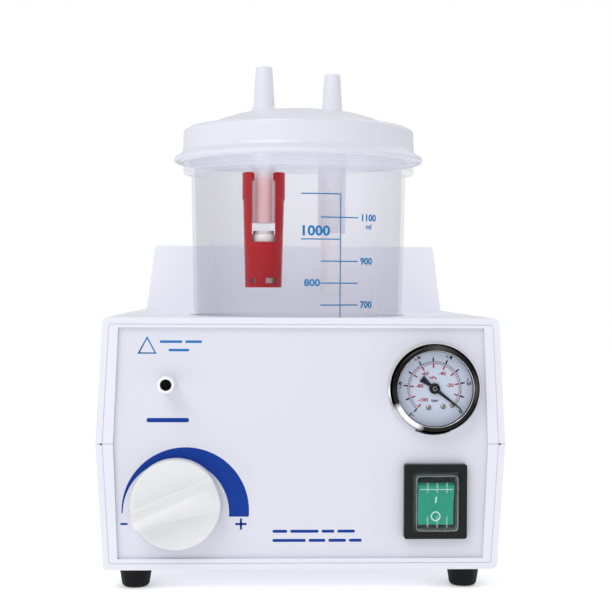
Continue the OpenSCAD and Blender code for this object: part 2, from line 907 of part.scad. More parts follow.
module clamp_disc() {
    color("silver")
    at(0, head_y, flange_z + 8.5) difference() {
        union() {
            cylinder(r = 13, h = 2.4);
            translate([0, 0, 2]) cylinder(r = 4, h = 1.2);
        }
        translate([0, 0, -1]) cylinder(r = 3.5, h = 1.85);
    }
}

module diaphragm() {
    color("#2b2b2e")
    at(0, head_y, 0) rotate_extrude() polygon([[3.55, flange_z + 6.4], [13.5, flange_z + 6.4],
        [21, flange_z + 4], [30, flange_z + 4], [30, flange_z + 6], [21.5, flange_z + 6],
        [13.8, flange_z + 8.45], [3.55, flange_z + 8.45]]);
}

module head_outline() {
    translate([0, front_y + head_y]) rounded_rect(head_w, head_w, 5);
}

module head_bolts(z, r, h) {
    for (x = [-1, 1], y = [-1, 1]) {
        at(x * (head_w / 2 - 6), head_y + y * (head_w / 2 - 6), z) cylinder(r = r, h = h);
    }
}

module crankcase() {
    color("silver")
    difference() {
        union() {
            slab(176, 215.9) translate([-34, plate_top]) square([68, flange_z - plate_top]);
            translate([0, 0, flange_z - 1]) linear_extrude(5) head_outline();
        }
        slab(180, 211) translate([-29, plate_top + 6]) square([58, flange_z - plate_top - 10]);
        at(0, head_y, flange_z - 10) cylinder(r = 14 + throw + 2, h = 20);
        at(0, head_y, flange_z - 5) cylinder(r = 20, h = 20);
        rearward(0, 205, shaft_z) cylinder(r = 12, h = 20);
        head_bolts(flange_z - 10, 2.05, 30);
    }
}

module valve_plate() {
    color("lightgray")
    difference() {
        translate([0, 0, flange_z + 6]) linear_extrude(11) head_outline();
        at(0, head_y, flange_z + 5) cylinder(r = 21.4, h = 8.4);
        for (x = [-10, 10]) {
            at(x, head_y, flange_z + 5) cylinder(r = 3, h = 20);
        }
        head_bolts(flange_z, 2.05, 30);
    }
}

module pump_head() {
    color("silver")
    difference() {
        union() {
            translate([0, 0, flange_z + 17]) linear_extrude(16) head_outline();
            for (x = [-16, 16]) {
                rearward(x, 153, flange_z + 26) cylinder(r = 4, h = 14);
            }
        }
        for (x = [-24, 4]) {
            at(x, head_y - 18, flange_z + 16) cube([20, 36, 14]);
        }
        for (x = [-16, 16]) {
            rearward(x, 150, flange_z + 26) cylinder(r = 2, h = 30);
        }
        head_bolts(flange_z, 2.05, 60);
    }
}

module head_screws() {
    color("dimgray") {
        head_bolts(flange_z - 1, 2, 35);
        head_bolts(flange_z + 33, 3.6, 3);
    }
}

module mount_plate() {
    color("lightsteelblue")
    difference() {
        at(-78, 168, plate_top - plate_t) cube([156, 146, plate_t]);
        for (x = [-mount_x, mount_x], y = mount_ys) {
            at(x, y, 20) cylinder(r = 3.1, h = 20);
        }
    }
}

module rubber_mounts() {
    color("#202022")
    for (x = [-mount_x, mount_x], y = mount_ys) {
        at(x, y, floor_top) rotate_extrude() polygon([[0, 0], [9, 0], [9, 2], [7.5, 5], [7.5, 9],
            [9, 12], [9, plate_top - plate_t - floor_top], [3, plate_top - plate_t - floor_top],
            [3, plate_top + 5 - floor_top], [0, plate_top + 5 - floor_top]]);
    }
}

module silencer() {
    color("#34363a")
    union() {
        rearward(64, 205, plate_top + 14) cylinder(r = 14, h = 52);
        rearward(64, 193, plate_top + 14) cylinder(r = 4, h = 13);
        rearward(64, 256, plate_top + 14) cylinder(r = 3, h = 8);
    }
}

module capacitor() {
    color("gainsboro")
    union() {
        rearward(-60, 205, plate_top + 16) cylinder(r = 16, h = 56);
        for (x = [-65, -55]) {
            slab(196, 205.5) translate([x, plate_top + 16]) square([0.8, 5], center = true);
        }
    }
}

// ---------- mains inlet ----------

module socket_outline(w, h, cut) {
    polygon([[-w / 2, -h / 2], [w / 2, -h / 2], [w / 2, h / 2 - cut], [w / 2 - cut, h / 2],
        [-w / 2 + cut, h / 2], [-w / 2, h / 2 - cut]]);
}

module mains_inlet() {
    socket_z = inlet_z - 7;
    back = case_d - 28;
    color("#202124")
    union() {
        difference() {
            union() {
                slab(case_d - panel_y + 0.02, case_d - 0.2)
                    translate([inlet_x, inlet_z]) rounded_rect(32, 44, 2);
                slab(back, case_d - panel_y + 0.1)
                    translate([inlet_x, inlet_z]) square([27, 39], center = true);
            }
            slab(case_d - 17, case_d + 1)
                translate([inlet_x, socket_z]) socket_outline(24, 16.4, 4);
            slab(case_d - 26, case_d + 1)
                translate([inlet_x, inlet_z + 12]) square([23.2, 10.2], center = true);
        }
        for (p = [[-7, -2], [7, -2], [0, 2]]) {
            slab(case_d - 18, case_d - 4.6)
                translate([inlet_x + p[0], socket_z + p[1]]) square([2, 4], center = true);
            slab(back - 8, back + 1)
                translate([inlet_x + p[0], socket_z + p[1]]) square([0.8, 4.8], center = true);
        }
    }
}

module fuse_drawer() {
    color("#2c2d31")
    difference() {
        slab(case_d - 25.5, case_d - 0.3)
            translate([inlet_x, inlet_z + 12]) square([22.6, 9.6], center = true);
        slab(case_d - 24, case_d - 3)
            translate([inlet_x, inlet_z + 13.5]) square([20.6, 8], center = true);
        slab(case_d - 1.2, case_d + 1)
            translate([inlet_x, inlet_z + 15.4]) square([8, 1.6], center = true);
    }
}

module fuses() {
    color("silver")
    for (y = [case_d - 20, case_d - 9]) {
        at(inlet_x - 10, y, inlet_z + 12.2) rotate([0, 90, 0]) cylinder(r = 2.6, h = 20);
    }
}

// ---------- hoses and wires ----------

// From the nipple and the head's inlet to a cross fitting, and on to valve and gauge
module hoses() {
    tee = [-84, 146, 92];
    color("lightgray") {
        tube_along([[nipple_x, 16, nipple_z], [-73, 26, 106], [-80, 46, 104], [-84, 80, 98],
            [-84, 115, 94], [-84, 139, 92]], 3.9);
        tube_along([[-84, 153, 92], [-84, 162, 95], [-74, 166, 108], [-56, 158, 124],
            [-38, 146, 134], [-24, 142, 136], [-16, 145, 136], [-16, 153, 136]], 3.9);
        tube_along([[knob_x, 48, knob_z], [-65, 60, 45], [-72, 80, 42], [-82, 105, 44],
            [-86, 128, 56], [-85, 142, 74], [-84, 146, 85]], 3.9);
        tube_along([[gauge_x, 39, gauge_z - 8], [70, 48, 95], [78, 62, 96], [82, 90, 100],
            [74, 120, 104], [54, 140, 108], [20, 144, 112], [-30, 144, 112],
            [-60, 145, 110], [-80, 146, 105], [-84, 146, 99]], 3.9);
        tube_along([[16, 153, 136], [17, 145, 136], [28, 142, 132], [46, 144, 118],
            [58, 152, 90], [62, 164, 60], [64, 178, 46], [64, 193, 44]], 3.9);
    }
    color("ivory") {
        rearward(tee[0], tee[1] - 7, tee[2]) cylinder(r = 4, h = 14);
        at(tee[0], tee[1], tee[2] - 7) cylinder(r = 4, h = 14);
        at(tee[0], tee[1], tee[2]) sphere(r = 6);
    }
}

module wires() {
    for (s = [0, 1]) {
        color(s == 0 ? "saddlebrown" : "royalblue")
        tube_along([[switch_x + 6 - 12 * s, 39, 54.8 - 18 * s], [70 - 4 * s, 50, 48 - 8 * s],
            [86 - 4 * s, 80, 28], [88 - 4 * s, 140, 22], [88 - 4 * s, 210, 22],
            [88 - 4 * s, 270, 26], [84 - 4 * s, 300, 40],
            [inlet_x + 7 - 14 * s, 308, 52], [inlet_x + 7 - 14 * s, case_d - 36, 53]], 1.3);
    }
    color("black")
    tube_along([[switch_x + 6, 39, 36.8], [74, 52, 30], [82, 90, 20], [80, 150, 19],
        [56, 165, 40], [50, 195, 70], [46, 215, 84],
        [43, 223, 87], [38.5, 227.7, wire_z], [33, 227.7, wire_z], [28.5, 227.7, wire_z]], 1.3);
    color("dimgray")
    tube_along([[-55, 196, 46], [-52, 188, 50], [-46, 190, 70], [-46, 215, 84],
        [-43, 223, 87], [-38.5, 227.7, wire_z], [-33, 227.7, wire_z], [-28.5, 227.7, wire_z]],
        1.3);
}

upper_shell();
lower_shell();
front_panel();
rear_panel();
case_screws();
feet();
foot_screws();
knob();
valve_spindle();
valve_body();
valve_nut();
suction_nipple();
gauge_case();
gauge_bezel();
gauge_lens();
gauge_dial();
gauge_needle();
sector_gear();
bourdon_tube();
gauge_stem();
switch_frame();
switch_rocker();
splash_cover();
switch_terminals();
jar();
lid();
lid_gasket();
outlet_tube();
inlet_tube();
drip_tube();
float_cage();
float_body();
float_seal();
motor_stator();
motor_coils();
front_bracket();
rear_bracket();
motor_bolts();
rotor_core();
motor_shaft();
shaft_bearings();
cooling_fan();
eccentric();
rod_bearing();
connecting_rod();
clamp_disc();
diaphragm();
crankcase();
valve_plate();
pump_head();
head_screws();
mount_plate();
rubber_mounts();
silencer();
capacitor();
mains_inlet();
fuse_drawer();
fuses();
hoses();
wires();
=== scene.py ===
import math

import bmesh
import bpy
from bpy.props import FloatProperty, FloatVectorProperty, IntProperty, PointerProperty
from bpy.types import Operator, Panel, PropertyGroup
from mathutils import Matrix, Vector


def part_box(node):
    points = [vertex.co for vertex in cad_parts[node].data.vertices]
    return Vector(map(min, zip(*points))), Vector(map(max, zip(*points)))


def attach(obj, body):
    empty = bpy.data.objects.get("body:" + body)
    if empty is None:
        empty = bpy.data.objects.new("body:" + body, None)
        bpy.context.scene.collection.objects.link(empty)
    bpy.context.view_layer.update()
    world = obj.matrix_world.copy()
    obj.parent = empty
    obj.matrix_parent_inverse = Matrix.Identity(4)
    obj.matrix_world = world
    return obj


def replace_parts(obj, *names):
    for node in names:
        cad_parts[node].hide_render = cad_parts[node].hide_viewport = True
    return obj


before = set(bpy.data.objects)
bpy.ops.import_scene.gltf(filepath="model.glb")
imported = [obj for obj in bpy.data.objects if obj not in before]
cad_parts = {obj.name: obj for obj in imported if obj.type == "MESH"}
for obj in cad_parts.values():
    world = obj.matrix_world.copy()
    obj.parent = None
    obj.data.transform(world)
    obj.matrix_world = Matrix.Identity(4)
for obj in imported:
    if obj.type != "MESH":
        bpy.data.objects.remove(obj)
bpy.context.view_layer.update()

bl_info = {
    "name": "Suction pump looks",
    "version": (1, 0, 0),
    "blender": (4, 5, 0),
    "location": "3D View > Sidebar > Pump",
    "description": "Builds the finishes, prints and fine pieces of a suction pump around its frame",
    "category": "Object",
}

MM = 0.001
TURN = 2 * math.pi
WELD = 0.002 * MM  # points nearer than this are merged
SHARP = 30  # degrees between faces at an edge that stays sharp
EASED = 32  # degrees between faces at an edge that is eased
PRINT = (-0.02, 0.05)  # a print's back and face, in millimetres from the panel


# ---- places

def extents(node):
    """A node's lowest corner, highest corner and middle."""
    low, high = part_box(node)
    return low, high, (low + high) / 2


def centre(node):
    return extents(node)[2]


def front_face(node):
    """The Y of a node's foremost point."""
    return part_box(node)[0].y


def facing(x, y, z):
    """Local X is to the right, local Y up and local Z out of the front."""
    return Matrix(((1, 0, 0, x), (0, 0, -1, y), (0, 1, 0, z), (0, 0, 0, 1)))


def upright(x, y):
    return Matrix.Translation((x, y, 0))


def polar(radius, degrees):
    a = math.radians(degrees)
    return Vector((radius * math.cos(a), radius * math.sin(a)))


# ---- shapes

def fillet(corners, steps=4):
    """Path through (x, y, radius) corners, each rounded by its radius."""
    path = []
    count = len(corners)
    for i, (x, y, radius) in enumerate(corners):
        here = Vector((x, y))
        if radius <= 0:
            path.append(here)
            continue
        back = Vector(corners[i - 1][:2]) - here
        ahead = Vector(corners[(i + 1) % count][:2]) - here
        half = back.angle(ahead) / 2
        reach = min(radius / max(math.tan(half), 1e-3), back.length * 0.49, ahead.length * 0.49)
        start = here + back.normalized() * reach
        end = here + ahead.normalized() * reach
        for k in range(steps + 1):
            t = k / steps
            path.append(start * (1 - t) ** 2 + here * 2 * t * (1 - t) + end * t * t)
    return path


def rounded_box(width, height, radius, steps=5):
    w, h = width / 2, height / 2
    return fillet([(-w, -h, radius), (w, -h, radius), (w, h, radius), (-w, h, radius)], steps)


def arc(cx, cy, radius, start, end, steps):
    return [Vector((cx, cy)) + polar(radius, start + (end - start) * k / steps)
            for k in range(steps + 1)]


def circle(radius, sides):
    return [(radius * math.cos(TURN * k / sides), radius * math.sin(TURN * k / sides))
            for k in range(sides)]


def placed(name, data):
    """A new object, linked to the scene."""
    made = bpy.data.objects.new(name, data)
    bpy.context.scene.collection.objects.link(made)
    return made


class Shape:
    """A mesh in millimetres that grows piece by piece."""

    def __init__(self):
        self.verts = []
        self.faces = []

    def add(self, verts, faces):
        base = len(self.verts)
        self.verts += [Vector(v) for v in verts]
        self.faces += [tuple(base + i for i in face) for face in faces]
        return self

    def prism(self, outline, low, high):
        n = len(outline)
        verts = [(p[0], p[1], low) for p in outline] + [(p[0], p[1], high) for p in outline]
        sides = [(i, (i + 1) % n, n + (i + 1) % n, n + i) for i in range(n)]
        return self.add(verts, [tuple(range(n - 1, -1, -1)), tuple(range(n, 2 * n))] + sides)

    def band(self, inner, outer, low, high):
        """A flat strip between two paths of the same length."""
        n = len(inner)
        top = 2 * n
        verts = [(p[0], p[1], z) for z in (low, high) for p in list(inner) + list(outer)]
        faces = []
        for i in range(n - 1):
            a, b, c, d = i, i + 1, n + i + 1, n + i
            faces += [(a, d, c, b), (a + top, b + top, c + top, d + top),
                      (a, b, b + top, a + top), (d, d + top, c + top, c)]
        faces += [(0, top, top + n, n), (n - 1, top - 1, 2 * top - 1, top + n - 1)]
        return self.add(verts, faces)

    def ring_band(self, inner_r, outer_r, start, end, low, high, steps=64):
        return self.band(arc(0, 0, inner_r, start, end, steps),
                         arc(0, 0, outer_r, start, end, steps), low, high)

    def stroke(self, a, b, width, low, high):
        a, b = Vector(a), Vector(b)
        along = (b - a).normalized()
        side = Vector((-along.y, along.x)) * width / 2
        return self.prism([a - side, b - side, b + side, a + side], low, high)

    def lathe(self, corners, steps, rounding=4):
        """Revolves a closed outline of (radius, height, corner radius) about local Z."""
        profile = fillet(corners, rounding)
        n = len(profile)
        verts = [(r * math.cos(TURN * k / steps), r * math.sin(TURN * k / steps), h)
                 for k in range(steps) for r, h in profile]
        faces = []
        for k in range(steps):
            for i in range(n):
                a, b = k * n + i, k * n + (i + 1) % n
                c, d = ((k + 1) % steps) * n + (i + 1) % n, ((k + 1) % steps) * n + i
                faces.append((a, d, c, b))
        return self.add(verts, faces)

    def text(self, words, size, x, y, low, high, turn=0.0, align="CENTER", weight=0.02, wide=1.0):
        """Raised characters, centred on their own height at (x, y)."""
        curve = bpy.data.curves.new("glyphs", "FONT")
        curve.body = words
        curve.size = size
        curve.align_x = align
        curve.align_y = "CENTER"
        curve.extrude = (high - low) / 2
        curve.offset = size * weight
        curve.resolution_u = 3
        holder = bpy.data.objects.new("glyphs", curve)
        mesh = bpy.data.meshes.new_from_object(holder)
        place = Matrix.Translation((x, y, (low + high) / 2)) @ Matrix.Rotation(
            math.radians(turn), 4, "Z") @ Matrix.Diagonal((wide, 1, 1, 1))
        self.add([place @ v.co for v in mesh.vertices], [tuple(p.vertices) for p in mesh.polygons])
        bpy.data.objects.remove(holder)
        bpy.data.curves.remove(curve)
        bpy.data.meshes.remove(mesh)

    def bend(self, radius_at):
        """Wraps X and Y round a vertical cylinder: X is arc length, Y height, Z stands off."""
        wrapped = []
        for v in self.verts:
            r = radius_at(v.y) + v.z
            a = v.x / radius_at(v.y)
            wrapped.append(Vector((r * math.sin(a), -r * math.cos(a), v.y)))
        self.verts = wrapped

    def make(self, name, place, finish, body, smooth=35):
        """Makes the object in metres at place, with its finish, riding on body."""
        mesh = bpy.data.meshes.new(name)
        scaled = [place @ (v * MM) for v in self.verts]
        mesh.from_pydata(scaled, [], self.faces)
        work = bmesh.new()
        work.from_mesh(mesh)
        bmesh.ops.remove_doubles(work, verts=work.verts, dist=WELD)
        bmesh.ops.recalc_face_normals(work, faces=work.faces)
        work.to_mesh(mesh)
        work.free()
        mesh.validate()
        mesh.polygons.foreach_set("use_smooth", [True] * len(mesh.polygons))
        mesh.set_sharp_from_angle(angle=math.radians(smooth))
        mesh.materials.append(finish)
        piece = placed(name, mesh)
        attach(piece, body)
        return piece


# ---- finishes

class Finish:
    """A node material around one Principled shader."""

    def __init__(self, name, colour, roughness, **sockets):
        self.material = bpy.data.materials.new(name)
        self.material.use_nodes = True
        self.tree = self.material.node_tree
        self.shader = self.tree.nodes["Principled BSDF"]
        self.colour = tuple(colour)[:3]
        self.roughness = roughness
        self.shader.inputs["Base Color"].default_value = (*self.colour, 1)
        self.shader.inputs["Roughness"].default_value = roughness
        for socket, value in sockets.items():
            self.shader.inputs[socket.replace("_", " ")].default_value = value
        self.where = self.node("ShaderNodeTexCoord").outputs["Object"]

    def node(self, kind, **values):
        """Adds a node, with values for its sockets or else for its settings."""
        made = self.tree.nodes.new(kind)
        for key, value in values.items():
            socket = key.replace("_", " ")
            if socket in made.inputs:
                made.inputs[socket].default_value = value
            else:
                setattr(made, key, value)
        return made

    def join(self, a, b):
        self.tree.links.new(a, b)

    def noise(self, scale, detail=3.0, stretch=(1, 1, 1)):
        mapping = self.node("ShaderNodeMapping", Scale=stretch)
        self.join(self.where, mapping.inputs["Vector"])
        made = self.node("ShaderNodeTexNoise", Scale=scale, Detail=detail)
        self.join(mapping.outputs["Vector"], made.inputs["Vector"])
        return made.outputs["Fac"]

    def fade(self, axis, start, end, most=1.0):
        """Rises from 0 at start to most at end along one axis, in metres."""
        apart = self.node("ShaderNodeSeparateXYZ")
        self.join(self.where, apart.inputs["Vector"])
        level = self.node("ShaderNodeMapRange", From_Min=start, From_Max=end, To_Max=most)
        self.join(apart.outputs[axis], level.inputs["Value"])
        return level.outputs["Result"]

    def span(self, factor, low, high):
        """Carries a factor of 0 to 1 onto low to high."""
        level = self.node("ShaderNodeMapRange", To_Min=low, To_Max=high)
        self.join(factor, level.inputs["Value"])
        return level.outputs["Result"]

    def edge_on(self, turn):
        """Rises from 0 on faces seen square on to 1 on faces seen edge-on."""
        return self.node("ShaderNodeLayerWeight", Blend=turn).outputs["Facing"]

    def tint(self, factor, amount=0.0, other=None):
        """Drifts the colour by amount, or towards another colour."""
        other = other or tuple(c * (1 - amount) for c in self.colour)
        mix = self.node("ShaderNodeMix", data_type="RGBA", A=(*self.colour, 1), B=(*other, 1))
        self.join(factor, mix.inputs["Factor"])
        self.join(mix.outputs["Result"], self.shader.inputs["Base Color"])

    def paint_reflections_round(self, middle, stops):
        """Paints reflections round a ring, varying its brightness round its middle, in turns from
        the left-hand side.
        """
        mapping = self.node("ShaderNodeMapping", Rotation=(-math.pi / 2, 0, 0),
                            Location=(-middle.x, -middle.z, 0))
        self.join(self.where, mapping.inputs["Vector"])
        round_it = self.node("ShaderNodeTexGradient", gradient_type="RADIAL")
        self.join(mapping.outputs["Vector"], round_it.inputs["Vector"])
        ramp = self.node("ShaderNodeValToRGB")
        points = ramp.color_ramp.elements
        points.remove(points[1])
        for i, (turn, level) in enumerate(stops):
            point = points[0] if i == 0 else points.new(turn)
            point.position = turn
            point.color = (level, level * 0.96, level * 0.95, 1)
        self.join(round_it.outputs["Fac"], ramp.inputs["Fac"])
        self.join(ramp.outputs["Color"], self.shader.inputs["Base Color"])

    def polish(self, factor, spread):
        """Varies the roughness by spread about its middle."""
        rough = self.span(factor, max(self.roughness - spread, 0.01),
                          min(self.roughness + spread, 1))
        self.join(rough, self.shader.inputs["Roughness"])

    def relief(self, factor, distance, strength=0.3):
        bump = self.node("ShaderNodeBump", Strength=strength, Distance=distance)
        self.join(factor, bump.inputs["Height"])
        self.join(bump.outputs["Normal"], self.shader.inputs["Normal"])

    def flow(self):
        """Faint flow lines down a clear moulding."""
        self.polish(self.noise(45, 4), self.roughness * 0.5)
        self.relief(self.noise(30, 2, (1, 1, 0.2)), 0.00004, 0.12)


def worn(name, colour, roughness, drift, patches, grain, **sockets):
    """A finish with three noises: a drift of colour, patches of polish and a fine grain.

    Each gives its amounts first (the grain a height and a strength), then its noise's
    scale, detail and stretch.
    """
    made = Finish(name, colour, roughness, **sockets)
    made.tint(made.noise(*drift[1:]), drift[0])
    made.polish(made.noise(*patches[1:]), patches[0])
    made.relief(made.noise(*grain[2:]), *grain[:2])
    return made.material


def moulded(name, colour, roughness, grain=2600, depth=0.00003, drift=0.03, **sockets):
    """Moulded plastic or rubber: fine grain, slow colour drift, patchy polish."""
    return worn(name, colour, roughness, (drift, 14), (roughness * 0.12, 60, 4),
                (depth, 0.3, grain, 2), **sockets)


def clear(name, colour, roughness, face, edge, painted_bounce=None):
    """Clear moulded plastic with faint flow lines, denser where it is seen edge-on.

    face and edge say how much it hides where it is seen square on and edge-on. The last argument
    gives the height below which it takes on a neighbour's colour, as painted light reflected from
    that neighbour, and that colour.
    """
    made = Finish(name, colour, roughness)
    if painted_bounce:
        # painted reflected light: below the given height the plastic takes on the neighbour's
        # colour
        height, colour = painted_bounce
        made.tint(made.fade("Z", height, height - 4 * MM), other=colour)
    else:
        made.tint(made.noise(9), 0.06)
    made.flow()
    alpha = made.span(made.edge_on(0.25), face, edge)
    made.join(alpha, made.shader.inputs["Alpha"])
    return made.material


def light_through(part):
    """Lets light pass a clear or milky piece without dimming what it covers."""
    part.visible_shadow = False
    part.visible_diffuse = False
    return part


def metal(name, colour, roughness, stretch=(1, 1, 1), grain=900):
    """Turned, drawn or cast metal with a directional grain."""
    return worn(name, colour, roughness, (0.12, 40, 4), (roughness * 0.35, grain, 3, stretch),
                (0.00002, 0.25, grain, 2, stretch), Metallic=1.0)


def ink(name, colour):
    """Screen-printed ink with slightly uneven cover."""
    return worn(name, colour, 0.5, (0.12, 300, 4), (0.08, 900), (0.00001, 0.2, 2400),
                Specular_IOR_Level=0.12)


def layered(made, wave, scale, distortion, drift, polish_scale, depth, strength):
    """Lays fine sheets or windings into a metal, as waves across or round the Y axis."""
    wave = made.node("ShaderNodeTexWave", Scale=scale, Distortion=distortion, **wave)
    made.join(made.where, wave.inputs["Vector"])
    made.tint(wave.outputs["Fac"], drift)
    made.polish(made.noise(polish_scale), 0.1)
    made.relief(wave.outputs["Fac"], depth, strength)
    return made.material


def varnished_stack(name, colour):
    """Punched sheets stacked along Y under a thin varnish."""
    return layered(Finish(name, colour, 0.4, Metallic=0.8), {"bands_direction": "Y"},
                   320, 0.6, 0.3, 80, 0.0001, 0.5)


def wound(name, colour):
    """Enamelled wire laid round the shaft's axis."""
    return layered(Finish(name, colour, 0.35, Metallic=0.7),
                   {"wave_type": "RINGS", "rings_direction": "Y"},
                   260, 1.5, 0.35, 120, 0.0003, 0.7)


def smoother():
    """One modifier group that shades faces smooth and keeps edges over SHARP degrees sharp."""
    group = bpy.data.node_groups.new("smooth_by_edge", "GeometryNodeTree")
    for way in ("INPUT", "OUTPUT"):
        group.interface.new_socket("Geometry", in_out=way, socket_type="NodeSocketGeometry")
    start, strip, faces, edges, end, between, over = (group.nodes.new(kind) for kind in (
        "NodeGroupInput", "GeometryNodeRemoveAttribute", "GeometryNodeSetShadeSmooth",
        "GeometryNodeSetShadeSmooth", "NodeGroupOutput", "GeometryNodeInputMeshEdgeAngle",
        "FunctionNodeCompare"))
    strip.inputs["Name"].default_value = "custom_normal"
    faces.domain, edges.domain = "FACE", "EDGE"
    edges.inputs["Shade Smooth"].default_value = False
    over.operation = "GREATER_THAN"
    over.inputs["B"].default_value = math.radians(SHARP)
    for a, b in ((start.outputs[0], strip.inputs["Geometry"]),
                 (strip.outputs["Geometry"], faces.inputs["Geometry"]),
                 (faces.outputs["Geometry"], edges.inputs["Geometry"]),
                 (between.outputs["Unsigned Angle"], over.inputs["A"]),
                 (over.outputs["Result"], edges.inputs["Selection"]),
                 (edges.outputs["Geometry"], end.inputs[0])):
        group.links.new(a, b)
    return group


def dress(node, finish, edge=0.0, segments=2):
    """Gives a frame node its finish, welded and smooth, with edges eased by edge millimetres."""
    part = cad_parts[node]
    for slot in part.material_slots:
        slot.material = finish
    weld = part.modifiers.new("weld", "WELD")
    weld.merge_threshold = WELD
    if edge:
        bevel = part.modifiers.new("eased_edges", "BEVEL")
        bevel.width = edge * MM
        bevel.segments = segments
        bevel.limit_method = "ANGLE"
        bevel.angle_limit = math.radians(EASED)
        bevel.miter_outer = "MITER_ARC"
    smooth = part.modifiers.new("smooth", "NODES")
    smooth.node_group = bpy.data.node_groups.get("smooth_by_edge") or smoother()
    if edge:
        flat = part.modifiers.new("flat_faces", "WEIGHTED_NORMAL")
        flat.keep_sharp = True
        flat.weight = 100
    return part


def rgb(name, description, default):
    return FloatVectorProperty(name=name, description=description, subtype="COLOR", size=3,
                               min=0, max=1, default=default)


def angle(name, description, degrees):
    return FloatProperty(name=name, description=description, subtype="ANGLE",
                         default=math.radians(degrees))


def share(name, description, default):
    return FloatProperty(name=name, description=description, default=default, min=0, max=1)


def length(name, description, default):
    return FloatProperty(name=name, description=description, unit="LENGTH", default=default,
                         min=0, precision=5)


# ---- settings

class CaseSettings(PropertyGroup):
    shell: rgb("Shell", "Colour of the two shells at the front", (0.735, 0.745, 0.825))
    # painted light: the housing end of the shells is paler to offset the shade that falls on it
    painted_light_shell: rgb("Pale shell", "Colour of the two shells at the housing", (0.85, 0.86, 0.94))
    painted_light_from: FloatProperty(name="Paler from", description="Y of the housing's front",
                              unit="LENGTH", default=-0.02)
    panel: rgb("Panels", "Colour of the front and rear panels", (0.68, 0.69, 0.775))
    rubber: rgb("Rubber", "Colour of the feet", (0.006, 0.006, 0.008))
    ink: rgb("Ink", "Colour of the panel print", (0.006, 0.045, 0.31))
    pale_ink: rgb("Pale ink", "Colour of the small panel print", (0.03, 0.19, 0.50))
    edge: length("Edge", "Radius of the shells' eased edges", 0.0005)


class KnobSettings(PropertyGroup):
    colour: rgb("Knob", "Colour of the regulator knob", (0.735, 0.735, 0.755))
    ridge_turn: angle("Ridge", "Angle of the grip ridge above level", 25)
    rings: IntProperty(name="Rings", description="Rings in the knob's mesh", default=60, min=20)


class GaugeSettings(PropertyGroup):
    dial: rgb("Dial", "Colour of the dial", (0.56, 0.62, 0.765))
    black: rgb("Black print", "Colour of the outer scale and needle", (0.006, 0.006, 0.008))
    red: rgb("Red print", "Colour of the inner scale", (0.35, 0.015, 0.03))
    zero_angle: angle("Zero", "Angle of the zero mark", -43.5)
    sweep: angle("Sweep", "Angle from zero to full vacuum", 272.5)


class SwitchSettings(PropertyGroup):
    frame_colour: rgb("Frame", "Colour of the switch frame", (0.005, 0.0055, 0.006))
    rocker: rgb("Rocker", "Colour of the rocker", (0.004, 0.31, 0.20))
    # painted highlight: this colour also draws the pale line across the rocker's top edge
    mark: rgb("Marks", "Colour of the marks on the rocker", (0.55, 0.85, 0.78))


class JarSettings(PropertyGroup):
    plastic: rgb("Jar", "Tint of the clear jar", (0.28, 0.29, 0.41))
    # painted light: on the rear wall this pale haze lifts the shaded housing seen through the jar;
    # in the collar it is the thick plastic's own haze
    haze_and_painted_light: rgb("Haze", "Colour of the jar where its plastic is thick", (0.74, 0.745, 0.85))
    front_density: share("Front density", "How much the jar's front wall hides", 0.02)
    rear_density: share("Rear density", "How much the jar's rear wall and collar hide", 0.42)
    lid: rgb("Lid", "Colour of the lid", (0.685, 0.695, 0.78))
    scale: rgb("Scale", "Colour of the graduations", (0.012, 0.19, 0.45))
    cage: rgb("Float cage", "Colour of the float cage", (0.46, 0.002, 0.004))
    top_mark: length("Top line", "Height of the scale's top line", 0.2038)
    thousand: length("1000 ml", "Height of the 1000 ml line", 0.1803)
    step: length("Step", "Height of 100 ml on the scale", 0.0114)


class StageSettings(PropertyGroup):
    floor: rgb("Floor", "Colour of the floor", (1.0, 1.0, 1.0))
    lens: FloatProperty(name="Lens", description="Focal length in millimetres", default=76.9)
    aside: length("Aside", "Distance of the camera left of the middle", 0.02393)
    back: length("Back", "Distance of the camera in front of the case", 0.66655)
    height: length("Height", "Height of the camera above the floor", 0.15714)
    yaw: angle("Yaw", "Turn of the camera to the right", 2.226)
    pitch: angle("Pitch", "Tilt of the camera above level", -0.977)
    roll: angle("Roll", "Roll of the camera", 0.255)
    key: FloatProperty(name="Key light", description="Power of the large key light in watts",
                       default=11.0, min=0)
    room: FloatProperty(name="Room light", description="Strength of the light from all round",
                        default=0.70, min=0)


class PumpSettings(PropertyGroup):
    case: PointerProperty(type=CaseSettings)
    knob: PointerProperty(type=KnobSettings)
    gauge: PointerProperty(type=GaugeSettings)
    switch: PointerProperty(type=SwitchSettings)
    jar: PointerProperty(type=JarSettings)
    stage: PointerProperty(type=StageSettings)


# ---- pieces

